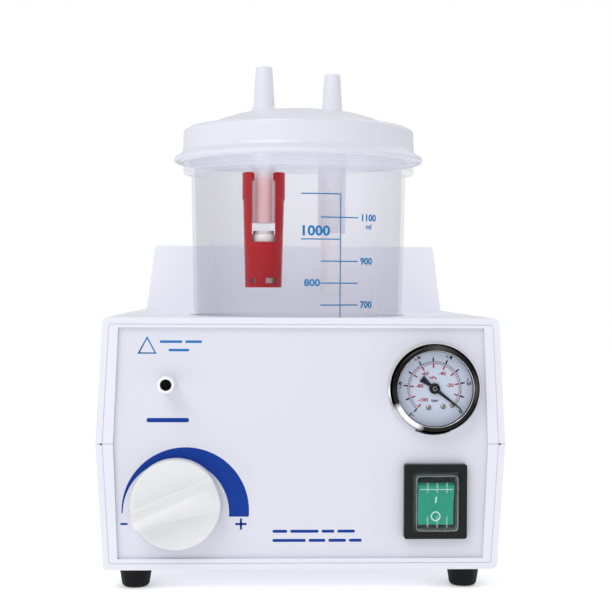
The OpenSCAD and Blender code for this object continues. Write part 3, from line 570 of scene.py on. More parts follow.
class PUMP_OT_case(Operator):
    """Finish the shells, panels, feet and screws, and put a small dark disc of painted shade in the
    seam's gap at each side
    """
    bl_idname = "pump.case"
    bl_label = "Case"

    def execute(self, context):
        look = context.scene.pump_looks.case
        shell = self.case_plastic(look)
        panel = moulded("panel_plastic", look.panel, 0.36, grain=1800)
        for node in ("upper_shell", "lower_shell"):
            dress(node, shell, look.edge / MM)
        for node in ("front_panel", "rear_panel"):
            dress(node, panel)
        rubber = moulded("foot_rubber", look.rubber, 0.55, grain=1500, depth=0.0001, drift=0.2,
                         Specular_IOR_Level=0.15)
        dress("feet", rubber, 0.5)
        dress("rubber_mounts", rubber)
        zinc = metal("zinc_screws", (0.45, 0.45, 0.47), 0.35)
        for node in ("case_screws", "foot_screws"):
            dress(node, zinc, 0.2)
        # painted shade: the pin shapes below are small dark discs in the gap between the shells at
        # each side, standing in for its shadow
        dark = moulded("seam_gap_painted_shadow", (0.05, 0.05, 0.06), 0.7)
        low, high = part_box("lower_shell")
        inset = 2.9 * MM
        for name, side in (("seam_shade_left", -1), ("seam_shade_right", 1)):
            pin = Shape().lathe([(0, -0.6, 0), (0.55, -0.6, 0.1), (0.55, 0.04, 0.1),
                                 (0, 0.06, 0)], 20)
            place = facing(side * (high.x - inset), low.y, high.z)
            pin.make(name, place, dark, "case")
        return {"FINISHED"}

    def case_plastic(self, look):
        """Moulded like the panels, with painted light: a paler tint from the front edge back to the
        housing, offsetting the shade that falls on the housing.
        """
        made = Finish("case_plastic", look.shell, 0.42)
        front = front_face("lower_shell")
        # painted light: paler towards the housing to offset the shade there
        made.tint(made.fade("Y", front, look.painted_light_from), other=look.painted_light_shell)
        made.polish(made.noise(60, 4), 0.05)
        made.relief(made.noise(2600, 2), 0.00003)
        return made.material


def ridge_height(u, v, radius):
    """Height of the knob's face at u along the ridge and v across it, in millimetres."""
    def ease(t):
        t = min(max(t, 0), 1)
        return t * t * (3 - 2 * t)

    dish, crest = 8.2, 18.6
    edge = math.hypot(u, v) / radius
    along = (u + radius) / (2 * radius)
    crest_here = crest - 1.4 * ease((edge - 0.80) / 0.2) - 2.2 * ease((along - 0.72) / 0.28)
    upper = 5.6 - 1.2 * along
    lower = 3.2 + 10.5 * along ** 1.5
    flat = 0.8 + 0.5 * (1 - along)
    across = (v - flat) / upper if v > 0 else (-v - flat) / lower
    fall = ease(across) if v > 0 else ease(across) ** 0.85
    base = dish + 1.1 * (edge ** 2) * (1 if v > 0 else 0.7)
    return crest_here * (1 - fall) + base * fall


class PUMP_OT_knob(Operator):
    """Model the regulator knob with its scooped grip"""
    bl_idname = "pump.knob"
    bl_label = "Knob"

    def execute(self, context):
        look = context.scene.pump_looks.knob
        low, high, middle = extents("knob")
        radius = (high.x - low.x) / 2 / MM
        depth = (high.y - low.y) / MM
        turn = look.ridge_turn
        sides, rings = 180, look.rings
        verts, faces = [(0, 0, ridge_height(0, 0, radius))], []
        for ring in range(1, rings + 1):
            for x, y in circle((radius - 1.0) * ring / rings, sides):
                u = x * math.cos(turn) + y * math.sin(turn)
                v = -x * math.sin(turn) + y * math.cos(turn)
                verts.append((x, y, min(ridge_height(u, v, radius), depth - 0.05)))
        # the rim falls from the face's last ring, and the skirt runs back to the axis
        rim = [(radius - 0.55, -0.35), (radius - 0.2, -1.0), (radius - 0.05, -2.0)]
        skirt = [(radius, 2.6), (radius, 0.6), (radius - 0.5, 0.0), (0, 0.0)]
        face_edge = [z for x, y, z in verts[-sides:]]
        for r, drop in rim:
            verts += [(x, y, max(top + drop, 3.0))
                      for (x, y), top in zip(circle(r, sides), face_edge)]
        for r, z in skirt:
            verts += [(x, y, z) for x, y in circle(r, sides)]
        faces += [(0, 1 + k, 1 + (k + 1) % sides) for k in range(sides)]
        levels = rings + len(rim) + len(skirt)
        for level in range(levels - 1):
            a, b = 1 + level * sides, 1 + (level + 1) * sides
            faces += [(a + k, b + k, b + (k + 1) % sides, a + (k + 1) % sides)
                      for k in range(sides)]
        finish = moulded("knob_plastic", look.colour, 0.38, grain=2000, drift=0.015,
                         Subsurface_Weight=0.05)
        piece = Shape().add(verts, faces).make(
            "regulator_knob", facing(middle.x, high.y, middle.z), finish, "regulator", 60)
        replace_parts(piece, "knob")
        return {"FINISHED"}


class PUMP_OT_prints(Operator):
    """Print the regulator's crescent, its signs and the plain word bars on the panel"""
    bl_idname = "pump.prints"
    bl_label = "Panel prints"

    def execute(self, context):
        look = context.scene.pump_looks.case
        deep = ink("panel_ink", look.ink)
        pale = ink("pale_panel_ink", look.pale_ink)
        knob = centre("knob")
        y = front_face("front_panel")
        place = facing(knob.x, y, knob.z)

        outer = arc(4.6, -4.3, 32.5, -5.5, 182.0, 90)
        inner = arc(-0.2, -5.35, 27.1, -4.3, 180.3, 90)
        crescent = Shape().band(inner, outer, *PRINT)
        crescent.make("crescent_print", place, deep, "case", 60)

        signs = Shape()
        for start, end, width in (((-28.4, -11.0), (-24.8, -11.0), 1.0),
                                  ((30.1, -11.2), (35.9, -11.2), 1.1),
                                  ((33.0, -14.1), (33.0, -8.3), 1.1)):
            signs.stroke(start, end, width, *PRINT)
        signs.make("plus_minus_print", place, deep, "case", 60)

        nipple = centre("suction_nipple")
        bar = Shape()
        self.word_bars(bar, -10.6, -18.9, (21.6,), 2.2, 1.1)
        bar.make("nipple_bar_print", facing(nipple.x, y, nipple.z), deep, "case", 60)

        foot_bars = Shape()
        for row, words in ((0, (7.5, 14.5, 6.5, 9.0)), (-4.7, (17.0, 8.5, 9.0, 6.5))):
            self.word_bars(foot_bars, -14.6, row, words, 1.5, 0.7, 1.6)
        foot_bars.make("lower_bars_print", facing(0, y, knob.z - 15 * MM), deep, "case", 60)

        outside = [(-15.3, 15.0), (-10.4, 24.0), (-5.5, 15.0)]
        inside = [(-14.1, 15.7), (-10.4, 22.5), (-6.7, 15.7)]
        corner = Shape().band(inside + inside[:1], outside + outside[:1], *PRINT)
        for row, start, words in ((21.2, -4.0, (11.5, 8.5)), (16.9, 0.5, (10.5,))):
            self.word_bars(corner, start, row, words, 1.3, 0.6, 1.5)
        corner.make("corner_print", facing(nipple.x, y, nipple.z), pale, "case", 60)
        return {"FINISHED"}

    def word_bars(self, shape, x, row, words, thick, radius, gap=0.0):
        """Adds a row of plain bars, one for each word's width, from x to the right."""
        for word in words:
            shape.prism([p + Vector((x + word / 2, row))
                         for p in rounded_box(word, thick, radius)], *PRINT)
            x += word + gap


class PUMP_OT_nipple(Operator):
    """Finish the suction nipple, with a dark cup of painted shade deep in its bore"""
    bl_idname = "pump.nipple"
    bl_label = "Suction nipple"

    def execute(self, context):
        white = moulded("nipple_plastic", (0.86, 0.87, 0.90), 0.3, grain=1800)
        dress("suction_nipple", white, 0.4, 3)
        middle = centre("suction_nipple")
        depth = 10.5 * MM
        place = facing(middle.x, front_face("suction_nipple") + depth, middle.z)
        # painted shade: the seal shape below is a dark cup lining the bore, standing in for the
        # shade inside it
        dark = moulded("bore_shade_paint", (0.02, 0.02, 0.022), 0.6, drift=0.2)
        seal = Shape().lathe([(0, 0, 0), (2.86, 0, 0.1), (2.86, 9, 0.1), (2.6, 9, 0.1),
                              (2.2, 2, 0.3), (0, 1.4, 0.3)], 40)
        seal.make("nipple_bore_shade", place, dark, "case")
        return {"FINISHED"}


class PUMP_OT_gauge(Operator):
    """Build the vacuum gauge's ring, scales, dial screws and needle hub"""
    bl_idname = "pump.gauge"
    bl_label = "Vacuum gauge"

    def execute(self, context):
        look = context.scene.pump_looks.gauge
        middle = centre("gauge_bezel")
        dark = moulded("gauge_enamel", look.black, 0.4, Specular_IOR_Level=0.12)
        self.ring(dark)
        self.works(look, dark)
        dial = facing(middle.x, front_face("gauge_dial"), middle.z)
        self.scales(look, dial)
        self.screws(dial, dark)
        self.hub(facing(middle.x, front_face("gauge_needle") + 0.4 * MM, middle.z), dark)
        return {"FINISHED"}

    def ring(self, dark):
        """A bright outer ring, a chrome band whose near-black colour and bright patches are painted
        reflections, a bright lip and a dark ring of painted shade inside it.
        """
        low, high, middle = extents("gauge_bezel")
        outer = (high.x - low.x) / 2 / MM + 0.3
        chrome = metal("polished_chrome", (0.86, 0.86, 0.87), 0.05, grain=200)
        # painted reflections: the band's near-black colour stands in for a dark room seen in the
        # chrome, and the ramp below paints bright and dim patches round it
        painted_reflections = Finish("chrome_with_painted_reflections", (0.018, 0.017, 0.018), 0.12, Metallic=1.0,
                        Specular_Tint=(0.2, 0.2, 0.2, 1))
        painted_reflections.paint_reflections_round(middle, ((0.0, 0.018), (0.055, 0.018), (0.08, 0.85), (0.175, 0.85),
                                    (0.205, 0.018), (0.44, 0.018), (0.52, 0.09), (0.58, 0.018),
                                    (0.66, 0.03), (0.74, 0.12), (0.80, 0.03), (0.86, 0.018)))
        painted_reflections.polish(painted_reflections.noise(200), 0.04)
        painted_reflections.relief(painted_reflections.noise(200, 2), 0.00002, 0.2)
        # each section's corners are an inset from the ring's edge, a height and a radius
        sections = (
            ("gauge_ring_base", chrome, 6,
             ((0, 0, 0.2), (0, 1.6, 0.6), (0.3, 2.8, 0.4), (1.15, 3.7, 0.3), (2.6, 3.7, 0.1),
              (2.6, 0, 0.1))),
            ("gauge_ring_band", painted_reflections.material, 6,
             ((1.05, 3.4, 0.1), (1.15, 4.4, 0.8), (2.2, 6.9, 1.8), (4.45, 7.6, 1.2),
              (4.45, 6.8, 0.1), (2.5, 3.4, 0.1))),
            ("gauge_ring_lip", chrome, 6,
             ((4.4, 7.4, 0.1), (4.5, 7.7, 0.1), (4.7, 7.5, 0.1), (4.75, 6.7, 0.1),
              (4.75, 5.2, 0.1), (3.7, 5.2, 0.1))),
            # painted shade: a dark inner ring standing in for the shade under the lip
            ("gauge_ring_painted_shade", dark, 4,
             ((4.7, 7.2, 0.1), (5.0, 6.4, 0.2), (5.0, 5.2, 0.1), (4.7, 5.2, 0.1))))
        place = facing(middle.x, high.y, middle.z)
        for name, finish, rounding, corners in sections:
            outline = [(outer - inset, height, r) for inset, height, r in corners]
            section = Shape().lathe(outline, 144, rounding).make(name, place, finish, "case", 40)
            if name == "gauge_ring_base":
                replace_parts(section, "gauge_bezel")

    def works(self, look, dark):
        """Finishes for the dial, needle, glass and the parts behind them."""
        face = worn("dial_paint", look.dial, 0.5, (0.05, 40), (0.08, 300), (0.00001, 0.2, 2500))
        dress("gauge_dial", face)
        dress("gauge_needle", dark, 0.15)
        light_through(dress("gauge_lens",
                            clear("gauge_glass", (0.3, 0.35, 0.45), 0.02, 0.015, 0.2)))
        dress("gauge_case", moulded("gauge_case_paint", (0.04, 0.04, 0.045), 0.4))
        brass = metal("gauge_brass", (0.70, 0.52, 0.26), 0.28)
        for node, edge in (("sector_gear", 0.15), ("bourdon_tube", 0), ("gauge_stem", 0.15)):
            dress(node, brass, edge)

    def scales(self, look, place):
        """The outer scale in bar and the inner scale in kilopascals."""
        zero, sweep = math.degrees(look.zero_angle), math.degrees(look.sweep)
        flat = (0.0, 0.06)
        outer_scale = Shape().ring_band(13.5, 13.75, zero, zero + sweep, *flat, 120)
        inner_scale = Shape().ring_band(12.75, 12.95, zero, zero + sweep, *flat, 120)
        for kpa in range(6, 101, 2):
            a = zero + sweep * kpa / 100
            width, outer_end, inner_end = (0.75, 15.9, 10.6) if kpa % 10 == 0 else (
                0.18, 14.4, 12.1)
            outer_scale.stroke(polar(13.7, a), polar(outer_end, a), width, *flat)
            inner_scale.stroke(polar(12.8, a), polar(inner_end, a), width, *flat)
        for tenths in range(0, 11, 2):
            a = zero + sweep * tenths / 10
            words = {0: "0", 10: "-1"}.get(tenths, f"-.{tenths}")
            spot = polar(17.9, a + (2.5 if tenths == 0 else 0))
            outer_scale.text(words, 3.0, spot.x, spot.y, *flat, a - 90, weight=0.03, wide=1.15)
        for kpa, x, y in ((20, 7.9, 1.6), (40, 3.9, 7.6), (60, -4.9, 7.6), (80, -7.6, 1.2),
                          (100, -5.8, -5.9)):
            inner_scale.text(f"-{kpa}", 2.5, x, y, *flat, weight=0.03, wide=1.15)
        inner_scale.text("kPa", 2.2, -0.7, 5.5, *flat, wide=1.2)
        outer_scale.text("bar", 2.3, 0.3, -6.2, *flat, wide=1.25)
        outer_scale.make("bar_scale", place, ink("gauge_black_ink", look.black), "case", 60)
        inner_scale.make("kpa_scale", place, ink("gauge_red_ink", look.red), "case", 60)

    def screws(self, place, dark):
        """The three slotted screws on the dial, each slot a dark bar of painted shade."""
        brass = metal("dial_brass", (0.42, 0.38, 0.31), 0.25)
        for i, (x, y) in enumerate(((-2.9, -9.8), (4.5, -9.2), (9.1, -8.6))):
            spot = place @ upright(x * MM, y * MM)
            screw = Shape().lathe([(0, 0, 0), (1.3, 0, 0.1), (1.3, 0.35, 0.3),
                                   (0.6, 0.85, 0.5), (0, 0.9, 0)], 28)
            screw.make(f"dial_screw_{i + 1}", spot, brass, "case")
            # painted shade: a dark bar stands in for each slot's shaded groove
            slot = Shape().prism(rounded_box(2.0, 0.26, 0), 0.5, 0.92)
            turned = spot @ Matrix.Rotation(0.5 + i, 4, "Z")
            slot.make(f"dial_screw_slot_shade_{i + 1}", turned, dark, "case")

    def hub(self, place, dark):
        """The needle's dark hub with a steel pin in it."""
        steel = metal("cap_steel", (0.55, 0.55, 0.56), 0.2)
        hub = Shape().lathe([(1.15, -0.9, 0), (2.15, -0.9, 0.1), (2.15, 0.15, 0.35),
                             (1.3, 0.34, 0.2), (1.15, 0.1, 0.1)], 48)
        hub.make("needle_hub", place, dark, "needle")
        cap = Shape().lathe([(0, -0.9, 0), (1.12, -0.9, 0), (1.12, 0.08, 0.2),
                             (0.45, 0.22, 0.1), (0.4, 0.05, 0.05), (0, 0.05, 0)], 40)
        cap.make("needle_cap", place, steel, "needle")


class PUMP_OT_switch(Operator):
    """Finish the rocker switch, its marks and its clear splash cover, with painted highlights along
    the rocker's top edge and round the cover's rim
    """
    bl_idname = "pump.switch"
    bl_label = "Mains switch"

    def execute(self, context):
        look = context.scene.pump_looks.switch
        black = moulded("switch_plastic", look.frame_colour, 0.32, grain=1600, drift=0.15,
                        Specular_IOR_Level=0.22)
        dress("switch_frame", black, 0.7, 3)
        dress("switch_terminals", metal("tab_brass", (0.72, 0.58, 0.32), 0.3), 0.1)
        green = worn("rocker_plastic", look.rocker, 0.22, (0.2, 90), (0.05, 200),
                     (0.00002, 0.2, 500), Specular_IOR_Level=0.2)
        dress("switch_rocker", green, 0.45, 3)
        boot = clear("splash_plastic", (0.30, 0.36, 0.36), 0.08, 0.03, 0.6)
        light_through(dress("splash_cover", boot, 0.6, 3))

        middle = centre("splash_cover")
        ribs_and_highlight, raised = Shape(), (-0.05, 0.3)
        for x in (-4.9, 0.0, 4.9):
            for y0, y1 in ((5.4, 10.6), (-12.2, -6.4)):
                ribs_and_highlight.stroke((x, y0), (x, y1), 0.8, *raised)
        # painted highlight: the milky strip round the cover's rim; the ribs are the cover's own
        rim, inside = rounded_box(21.3, 28.1, 2.2), rounded_box(20.7, 27.5, 2.0)
        ribs_and_highlight.band(inside + inside[:1], rim + rim[:1], *raised)
        milky = clear("cover_rib_and_highlight_plastic", (0.70, 0.80, 0.80), 0.15, 0.17, 0.6)
        place = facing(middle.x, front_face("splash_cover") + 0.3 * MM, middle.z)
        ribs_and_highlight.make("cover_ribs_and_rim_highlight", place, milky, "case", 30)

        mark = ink("rocker_marks_and_highlight_ink", look.mark)
        tilt, slope = math.radians(10), math.atan2(1.8, 10.5)
        rocker = centre("switch_rocker")
        place = facing(rocker.x, self.pivot_y(), middle.z) @ Matrix.Rotation(tilt, 4, "X")
        top, base = (Matrix.Translation((0, y * MM, z * MM)) @ Matrix.Rotation(turn, 4, "X")
                     for y, z, turn in ((2.4, 6.82, slope), (-6.2, 7.47, -slope)))
        stroke = Shape().stroke((-0.15, -1.8), (0.15, 1.8), 0.7, 0.0, 0.08)
        # painted highlight: a pale line across the rocker's top edge, in the marks' ink
        stroke.stroke((-8.4, 6.0), (8.4, 6.0), 0.3, *PRINT)
        stroke.make("on_mark_and_painted_highlight", place @ top, mark, "rocker", 60)
        circle = Shape().ring_band(1.95, 2.5, 0, 360, 0.0, 0.08, 48)
        circle.make("off_mark", place @ base, mark, "rocker", 60)
        return {"FINISHED"}

    def pivot_y(self):
        """The rocker's pivot stands 4 mm behind the case's front."""
        return front_face("lower_shell") + 4 * MM


def jar_radius(height):
    """Outer radius of the jar at a height above the floor, both in millimetres."""
    widest, widest_at, draft = 59.6, 204.8, math.radians(1.2)
    return widest - (widest_at - height) * math.tan(draft)


class PUMP_OT_jar(Operator):
    """Model the clear jar and print its scale"""
    bl_idname = "pump.jar"
    bl_label = "Jar"

    def execute(self, context):
        look = context.scene.pump_looks.jar
        low, high, middle = extents("jar")
        base, top = low.z / MM, high.z / MM
        place = upright(middle.x, middle.y)
        plastic = self.jar_plastic(look, middle.y)
        wall = 2.0
        foot = jar_radius(base)
        profile = [
            (0, base + 0.6, 0), (foot - 12, base + 0.6, 2), (foot - 10, base, 1),
            (foot, base, 3.5), (jar_radius(217.8), 217.8, 0.6), (64.3, 218.3, 0.5),
            (64.3, 219.7, 0.3), (63.5, 220.2, 0.3), (64.3, 220.7, 0.3), (64.3, 222.0, 0.3),
            (63.7, 222.5, 0.3), (64.3, 223.0, 0.3), (64.3, 224.0, 0.4), (61.0, 224.0, 0.3),
            (61.0, top, 0.6), (58.6, top, 0.6), (jar_radius(216) - wall, 216, 2),
            (foot - wall, base + 2.5, 3.0), (0, base + 2.6, 0)]
        shell = Shape().lathe(profile, 160, 5).make("jar_shell", place, plastic, "jar_body", 50)
        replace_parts(light_through(shell), "jar")
        self.graduations(look, place, base)
        return {"FINISHED"}

    def graduations(self, look, place, base):
        """Prints the scale's lines and numbers, wrapped round the jar's front."""
        blue = ink("scale_ink", look.scale)
        lift_low, lift = 0.02, 0.12
        thousand, step = look.thousand / MM, look.step / MM
        line = 20.6
        marks = Shape()

        def level(x0, x1, z, width=0.62):
            count = max(2, int(abs(x1 - x0) / 1.5))
            xs = [x0 + (x1 - x0) * k / count for k in range(count + 1)]
            marks.band([Vector((x, z + width / 2)) for x in xs],
                       [Vector((x, z - width / 2)) for x in xs], lift_low, lift)

        marks.stroke((line, base + 6), (line, look.top_mark / MM), 0.55, lift_low, lift)
        level(-0.5, line + 0.27, look.top_mark / MM)
        for hundreds in range(1, 12):
            z = thousand + (hundreds - 10) * step
            if hundreds == 10:
                level(-0.5, line, z)
                marks.text("1000", 7.2, 6.9, z + 4.1, lift_low, lift, weight=0.03, wide=1.1)
                continue
            level(9.9, 31.0, z)
            size, x, align = (4.9, 32.6, "LEFT") if hundreds % 2 else (5.1, 5.4, "CENTER")
            marks.text(str(hundreds * 100), size, x, z, lift_low, lift, align=align,
                       weight=0.03, wide=1.1)
        marks.text("ml", 4.0, 38.2, thousand + step - 4.6, lift_low, lift)
        marks.bend(jar_radius)
        marks.make("jar_scale", place, blue, "jar_body", 60)

    def jar_plastic(self, look, middle_y):
        """Clear at the front and milkier in the thick collar, with painted light towards the back
        wall, where a pale haze lifts the shaded housing seen through it.
        """
        made = Finish("jar_plastic", look.plastic, 0.04)
        milky = made.node("ShaderNodeMath", operation="MAXIMUM")
        wall_start, wall_end = middle_y - 10 * MM, middle_y + 45 * MM
        collar_start, collar_end = 216.2 * MM, 218.0 * MM
        # the Y fade is painted light on the rear wall, the Z fade the collar's thick plastic
        for i, (axis, start, end, most) in enumerate((("Y", wall_start, wall_end, 1.0),
                                                      ("Z", collar_start, collar_end, 0.8))):
            made.join(made.fade(axis, start, end, most), milky.inputs[i])
        made.tint(milky.outputs["Value"], other=look.haze_and_painted_light)
        made.flow()
        density = made.span(milky.outputs["Value"], look.front_density, look.rear_density)
        alpha = made.node("ShaderNodeMapRange", To_Max=0.6)
        made.join(density, alpha.inputs["To Min"])
        made.join(made.edge_on(0.08), alpha.inputs["Value"])
        made.join(alpha.outputs["Result"], made.shader.inputs["Alpha"])
        return made.material


class PUMP_OT_lid(Operator):
    """Model the lid with its two hose ports, gasket and tubes"""
    bl_idname = "pump.lid"
    bl_label = "Lid"

    def execute(self, context):
        look = context.scene.pump_looks.jar
        low, high, middle = extents("lid")
        rim = (high.x - low.x) / 2 / MM
        base, tip = low.z / MM, high.z / MM
        place = upright(middle.x, middle.y)
        white = moulded("lid_plastic", look.lid, 0.3, grain=1500, drift=0.02,
                        Subsurface_Weight=0.08)
        profile = [
            (rim - 1.4, base, 0.3), (rim, base + 0.1, 0.3), (rim, base + 1.9, 0.8),
            (rim - 0.9, base + 2.9, 0.6), (65.1, base + 4.8, 1.4), (64.4, base + 6.6, 1.0),
            (64.1, 241.6, 1.6), (61.4, 243.1, 1.2), (55.0, 243.4, 5), (50.5, 245.2, 4),
            (44.0, 247.9, 6), (35.0, 250.7, 8), (25.0, 252.3, 8), (12.0, 253.6, 6), (0, 253.9, 0),
            (0, 251.6, 0), (25.0, 250.0, 8), (44.0, 245.6, 6), (55.0, 241.2, 1), (56.4, 240.6, 0.4),
            (61.6, 240.6, 0.3), (61.6, base, 0.2), (62.7, base, 0.2), (63.0, base + 1.2, 0.2),
            (64.6, base + 1.2, 0.2), (64.9, base, 0.2), (65.3, base, 0.2),
            (66.0, base + 1.6, 0.4), (rim - 1.9, base + 1.2, 0.3)]
        lid = Shape().lathe(profile, 160, 5)
        for side in (-1, 1):
            spot = self.port(side, middle)
            port = Shape().lathe([
                (3.0, 236.2, 0), (4.45, 236.2, 0.2), (4.45, 250.5, 0.2), (6.9, 250.5, 0),
                (6.9, 253.4, 0.7), (5.9, 254.3, 1.2), (5.65, 257.4, 1.5), (4.5, tip, 0.5),
                (3.0, tip, 0.4)], 64, 5)
            lid.add([v + Vector((spot.x, spot.y, 0)) for v in port.verts], port.faces)
        piece = lid.make("lid_shell", place, white, "lid_body", 40)
        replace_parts(light_through(piece), "lid")
        dress("lid_gasket", moulded("gasket_silicone", (0.62, 0.63, 0.66), 0.5), 0.3)
        pale = clear("pale_tube_plastic", (0.66, 0.66, 0.76), 0.25, 0.38, 0.75)
        thin = clear("drip_tube_plastic", (0.84, 0.84, 0.90), 0.1, 0.3, 0.6)
        # painted reflected light: the outlet tube turns pink below the top of the red cage round it
        painted_bounce_tube = clear("outlet_tube_plastic_with_painted_bounce", (0.72, 0.72, 0.80), 0.25, 0.38, 0.75,
                     painted_bounce=(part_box("float_cage")[1].z, (0.86, 0.50, 0.54)))
        for node, finish in (("outlet_tube", painted_bounce_tube), ("inlet_tube", pale), ("drip_tube", thin)):
            light_through(dress(node, finish, 0.2))
        return {"FINISHED"}

    def port(self, side, middle):
        """A port's place from the jar's axis, in millimetres, taken from its tube."""
        tube = centre("outlet_tube" if side < 0 else "inlet_tube")
        return Vector((tube.x - middle.x, tube.y - middle.y)) / MM


class PUMP_OT_float_valve(Operator):
    """Finish the red float cage, the float and its seal"""
    bl_idname = "pump.float_valve"
    bl_label = "Float valve"

    def execute(self, context):
        look = context.scene.pump_looks.jar
        cage = worn("cage_plastic", look.cage, 0.14, (0.3, 60), (0.06, 150),
                    (0.00005, 0.25, 300, 2, (1, 1, 0.3)), Specular_IOR_Level=0.15)
        dress("float_cage", cage, 0.3, 3)
        dress("float_body", moulded("float_plastic", (0.84, 0.82, 0.84), 0.35), 0.3)
        dress("float_seal", moulded("seal_silicone", (0.70, 0.66, 0.68), 0.5), 0.3)
        return {"FINISHED"}


class PUMP_OT_motor(Operator):
    """Finish the motor, from its stack and windings to its fan"""
    bl_idname = "pump.motor"
    bl_label = "Motor"

    def execute(self, context):
        cast = metal("cast_alloy", (0.62, 0.63, 0.64), 0.45, grain=700)
        ground = metal("ground_steel", (0.58, 0.59, 0.61), 0.22, (1, 6, 1))
        dress("motor_stator", varnished_stack("stator_stack", (0.22, 0.24, 0.28)), 0.3)
        dress("motor_coils", wound("coil_wire", (0.48, 0.17, 0.05)))
        for node in ("front_bracket", "rear_bracket"):
            dress(node, cast, 0.6)
        for node in ("motor_shaft", "shaft_bearings", "rotor_core"):
            dress(node, ground, 0.2)
        dress("motor_bolts", metal("bolt_steel", (0.35, 0.35, 0.37), 0.35), 0.2)
        dress("cooling_fan", moulded("fan_nylon", (0.72, 0.68, 0.55), 0.45), 0.2)
        return {"FINISHED"}


class PUMP_OT_pump_unit(Operator):
    """Finish the diaphragm pump and the plate it stands on"""
    bl_idname = "pump.pump_unit"
    bl_label = "Pump unit"

    def execute(self, context):
        cast = metal("pump_alloy", (0.60, 0.61, 0.63), 0.42, grain=600)
        steel = metal("crank_steel", (0.50, 0.51, 0.53), 0.25)
        for node in ("crankcase", "pump_head", "valve_plate", "connecting_rod"):
            dress(node, cast, 0.5)
        for node in ("eccentric", "rod_bearing", "clamp_disc", "head_screws"):
            dress(node, steel, 0.2)
        dress("diaphragm", moulded("diaphragm_rubber", (0.02, 0.02, 0.024), 0.6), 0.2)
        dress("mount_plate", metal("plate_zinc", (0.50, 0.54, 0.58), 0.4), 0.3)
        dress("silencer", moulded("silencer_plastic", (0.03, 0.032, 0.036), 0.45), 0.6)
        dress("capacitor", moulded("capacitor_can", (0.70, 0.70, 0.66), 0.35), 0.8)
        return {"FINISHED"}


class PUMP_OT_regulator(Operator):
    """Finish the regulator valve behind the panel"""
    bl_idname = "pump.regulator"
    bl_label = "Regulator valve"

    def execute(self, context):
        brass = metal("valve_brass", (0.68, 0.51, 0.25), 0.3)
        for node in ("valve_body", "valve_spindle"):
            dress(node, brass, 0.3)
        dress("valve_nut", metal("nut_nickel", (0.6, 0.6, 0.6), 0.25), 0.1)
        return {"FINISHED"}


class PUMP_OT_mains(Operator):
    """Finish the mains inlet, its fuse drawer and fuses"""
    bl_idname = "pump.mains"
    bl_label = "Mains inlet"

    def execute(self, context):
        black = moulded("inlet_plastic", (0.014, 0.015, 0.018), 0.4, grain=1500, drift=0.15)
        dress("mains_inlet", black, 0.4)
        dress("fuse_drawer", black, 0.3)
        dress("fuses", metal("fuse_caps", (0.6, 0.6, 0.62), 0.2), 0.2)
        return {"FINISHED"}


class PUMP_OT_tubing(Operator):
    """Finish the hoses and the wires inside the case"""
    bl_idname = "pump.tubing"
    bl_label = "Hoses and wires"

    def execute(self, context):
        dress("hoses", moulded("hose_silicone", (0.74, 0.74, 0.72), 0.4, Subsurface_Weight=0.1))
        dress("wires", moulded("wire_sleeve", (0.10, 0.05, 0.035), 0.45))
        return {"FINISHED"}


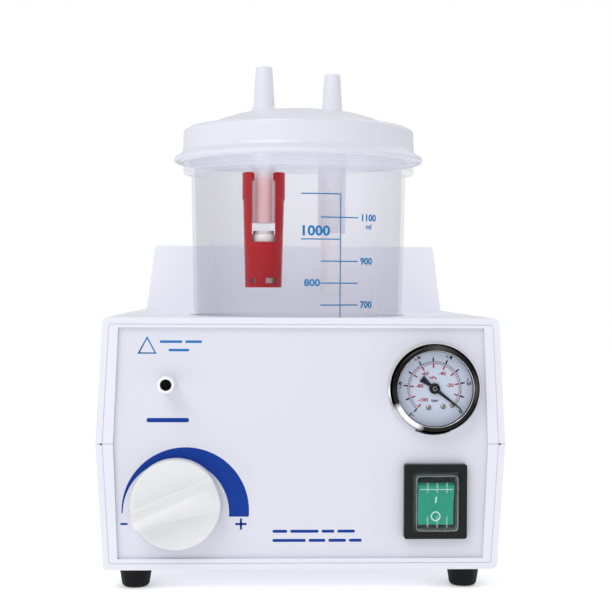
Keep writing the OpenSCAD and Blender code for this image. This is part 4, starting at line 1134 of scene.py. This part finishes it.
class PUMP_OT_stage(Operator):
    """Lay the pale floor, set the soft lights and place the camera"""
    bl_idname = "pump.stage"
    bl_label = "Stage"

    def execute(self, context):
        scene = context.scene
        look = scene.pump_looks.stage
        floor_paint = Finish("stage_paint", look.floor, 0.6, Emission_Strength=0.3)
        floor_paint.shader.inputs["Emission Color"].default_value = (1, 1, 1, 1)
        floor_paint.tint(floor_paint.noise(3), 0.004)
        mesh = bpy.data.meshes.new("floor")
        reach = 4.0
        mesh.from_pydata([(-reach, -reach, 0), (reach, -reach, 0), (reach, reach, 0),
                          (-reach, reach, 0)], [], [(0, 1, 2, 3)])
        mesh.materials.append(floor_paint.material)
        floor = placed("floor", mesh)
        floor.location.z = -0.2 * MM

        world = bpy.data.worlds.new("soft_room")
        world.use_nodes = True
        world.node_tree.nodes["Background"].inputs["Color"].default_value = (1, 1, 1, 1)
        self.even_backdrop(world.node_tree, look.room)
        scene.world = world
        scene.view_settings.view_transform = "Standard"

        for name, where, portion, size in (("key_light", (-0.7, -1.1, 1.4), 1.0, 1.0),
                                           ("fill_light", (0.9, 0.9, 1.3), 0.25, 1.2)):
            self.lamp(name, where, look.key * portion, size)
        self.place_camera(look)
        return {"FINISHED"}

    def even_backdrop(self, tree, room):
        """Keeps the backdrop white and lets the room light the pump at its own strength."""
        path = tree.nodes.new("ShaderNodeLightPath")
        level = tree.nodes.new("ShaderNodeMapRange")
        level.inputs["To Min"].default_value = room
        level.inputs["To Max"].default_value = 1.0
        tree.links.new(path.outputs["Is Camera Ray"], level.inputs["Value"])
        tree.links.new(level.outputs["Result"], tree.nodes["Background"].inputs["Strength"])

    def lamp(self, name, where, power, size):
        light = bpy.data.lights.new(name, "AREA")
        light.energy = power
        light.size = size
        lamp = placed(name, light)
        lamp.location = where
        lamp.rotation_mode = "QUATERNION"
        target = Vector((0, 0, 0.12)) - Vector(where)
        lamp.rotation_quaternion = target.to_track_quat("-Z", "Y")

    def place_camera(self, look):
        data = bpy.data.cameras.new("camera")
        data.lens = look.lens
        data.sensor_width = 36
        camera = placed("camera", data)
        ahead = Vector((math.sin(look.yaw) * math.cos(look.pitch),
                        math.cos(look.yaw) * math.cos(look.pitch), math.sin(look.pitch)))
        right = Vector((math.cos(look.yaw), -math.sin(look.yaw), 0))
        up = right.cross(ahead)
        c, s = math.cos(look.roll), math.sin(look.roll)
        right, up = c * right + s * up, c * up - s * right
        y = front_face("lower_shell") - look.back
        camera.matrix_world = Matrix((
            (right.x, up.x, -ahead.x, -look.aside),
            (right.y, up.y, -ahead.y, y),
            (right.z, up.z, -ahead.z, look.height),
            (0, 0, 0, 1)))
        bpy.context.scene.camera = camera


# ---- add-on

STEPS = (PUMP_OT_stage, PUMP_OT_case, PUMP_OT_knob, PUMP_OT_prints, PUMP_OT_nipple,
         PUMP_OT_gauge, PUMP_OT_switch, PUMP_OT_jar, PUMP_OT_lid, PUMP_OT_float_valve,
         PUMP_OT_regulator, PUMP_OT_motor, PUMP_OT_pump_unit, PUMP_OT_mains, PUMP_OT_tubing)


class PUMP_PT_panel(Panel):
    """Lists the steps that build the pump's looks"""
    bl_idname = "PUMP_PT_panel"
    bl_label = "Suction pump"
    bl_space_type = "VIEW_3D"
    bl_region_type = "UI"
    bl_category = "Pump"

    def draw(self, context):
        for step in STEPS:
            self.layout.operator(step.bl_idname)


CLASSES = (CaseSettings, KnobSettings, GaugeSettings, SwitchSettings, JarSettings,
           StageSettings, PumpSettings, *STEPS, PUMP_PT_panel)


def register():
    for cls in CLASSES:
        bpy.utils.register_class(cls)
    bpy.types.Scene.pump_looks = PointerProperty(type=PumpSettings)


def unregister():
    del bpy.types.Scene.pump_looks
    for cls in reversed(CLASSES):
        bpy.utils.unregister_class(cls)


def main():
    register()
    for step in STEPS:
        group, name = step.bl_idname.split(".")
        getattr(getattr(bpy.ops, group), name)()


if __name__ == "__main__":
    main()
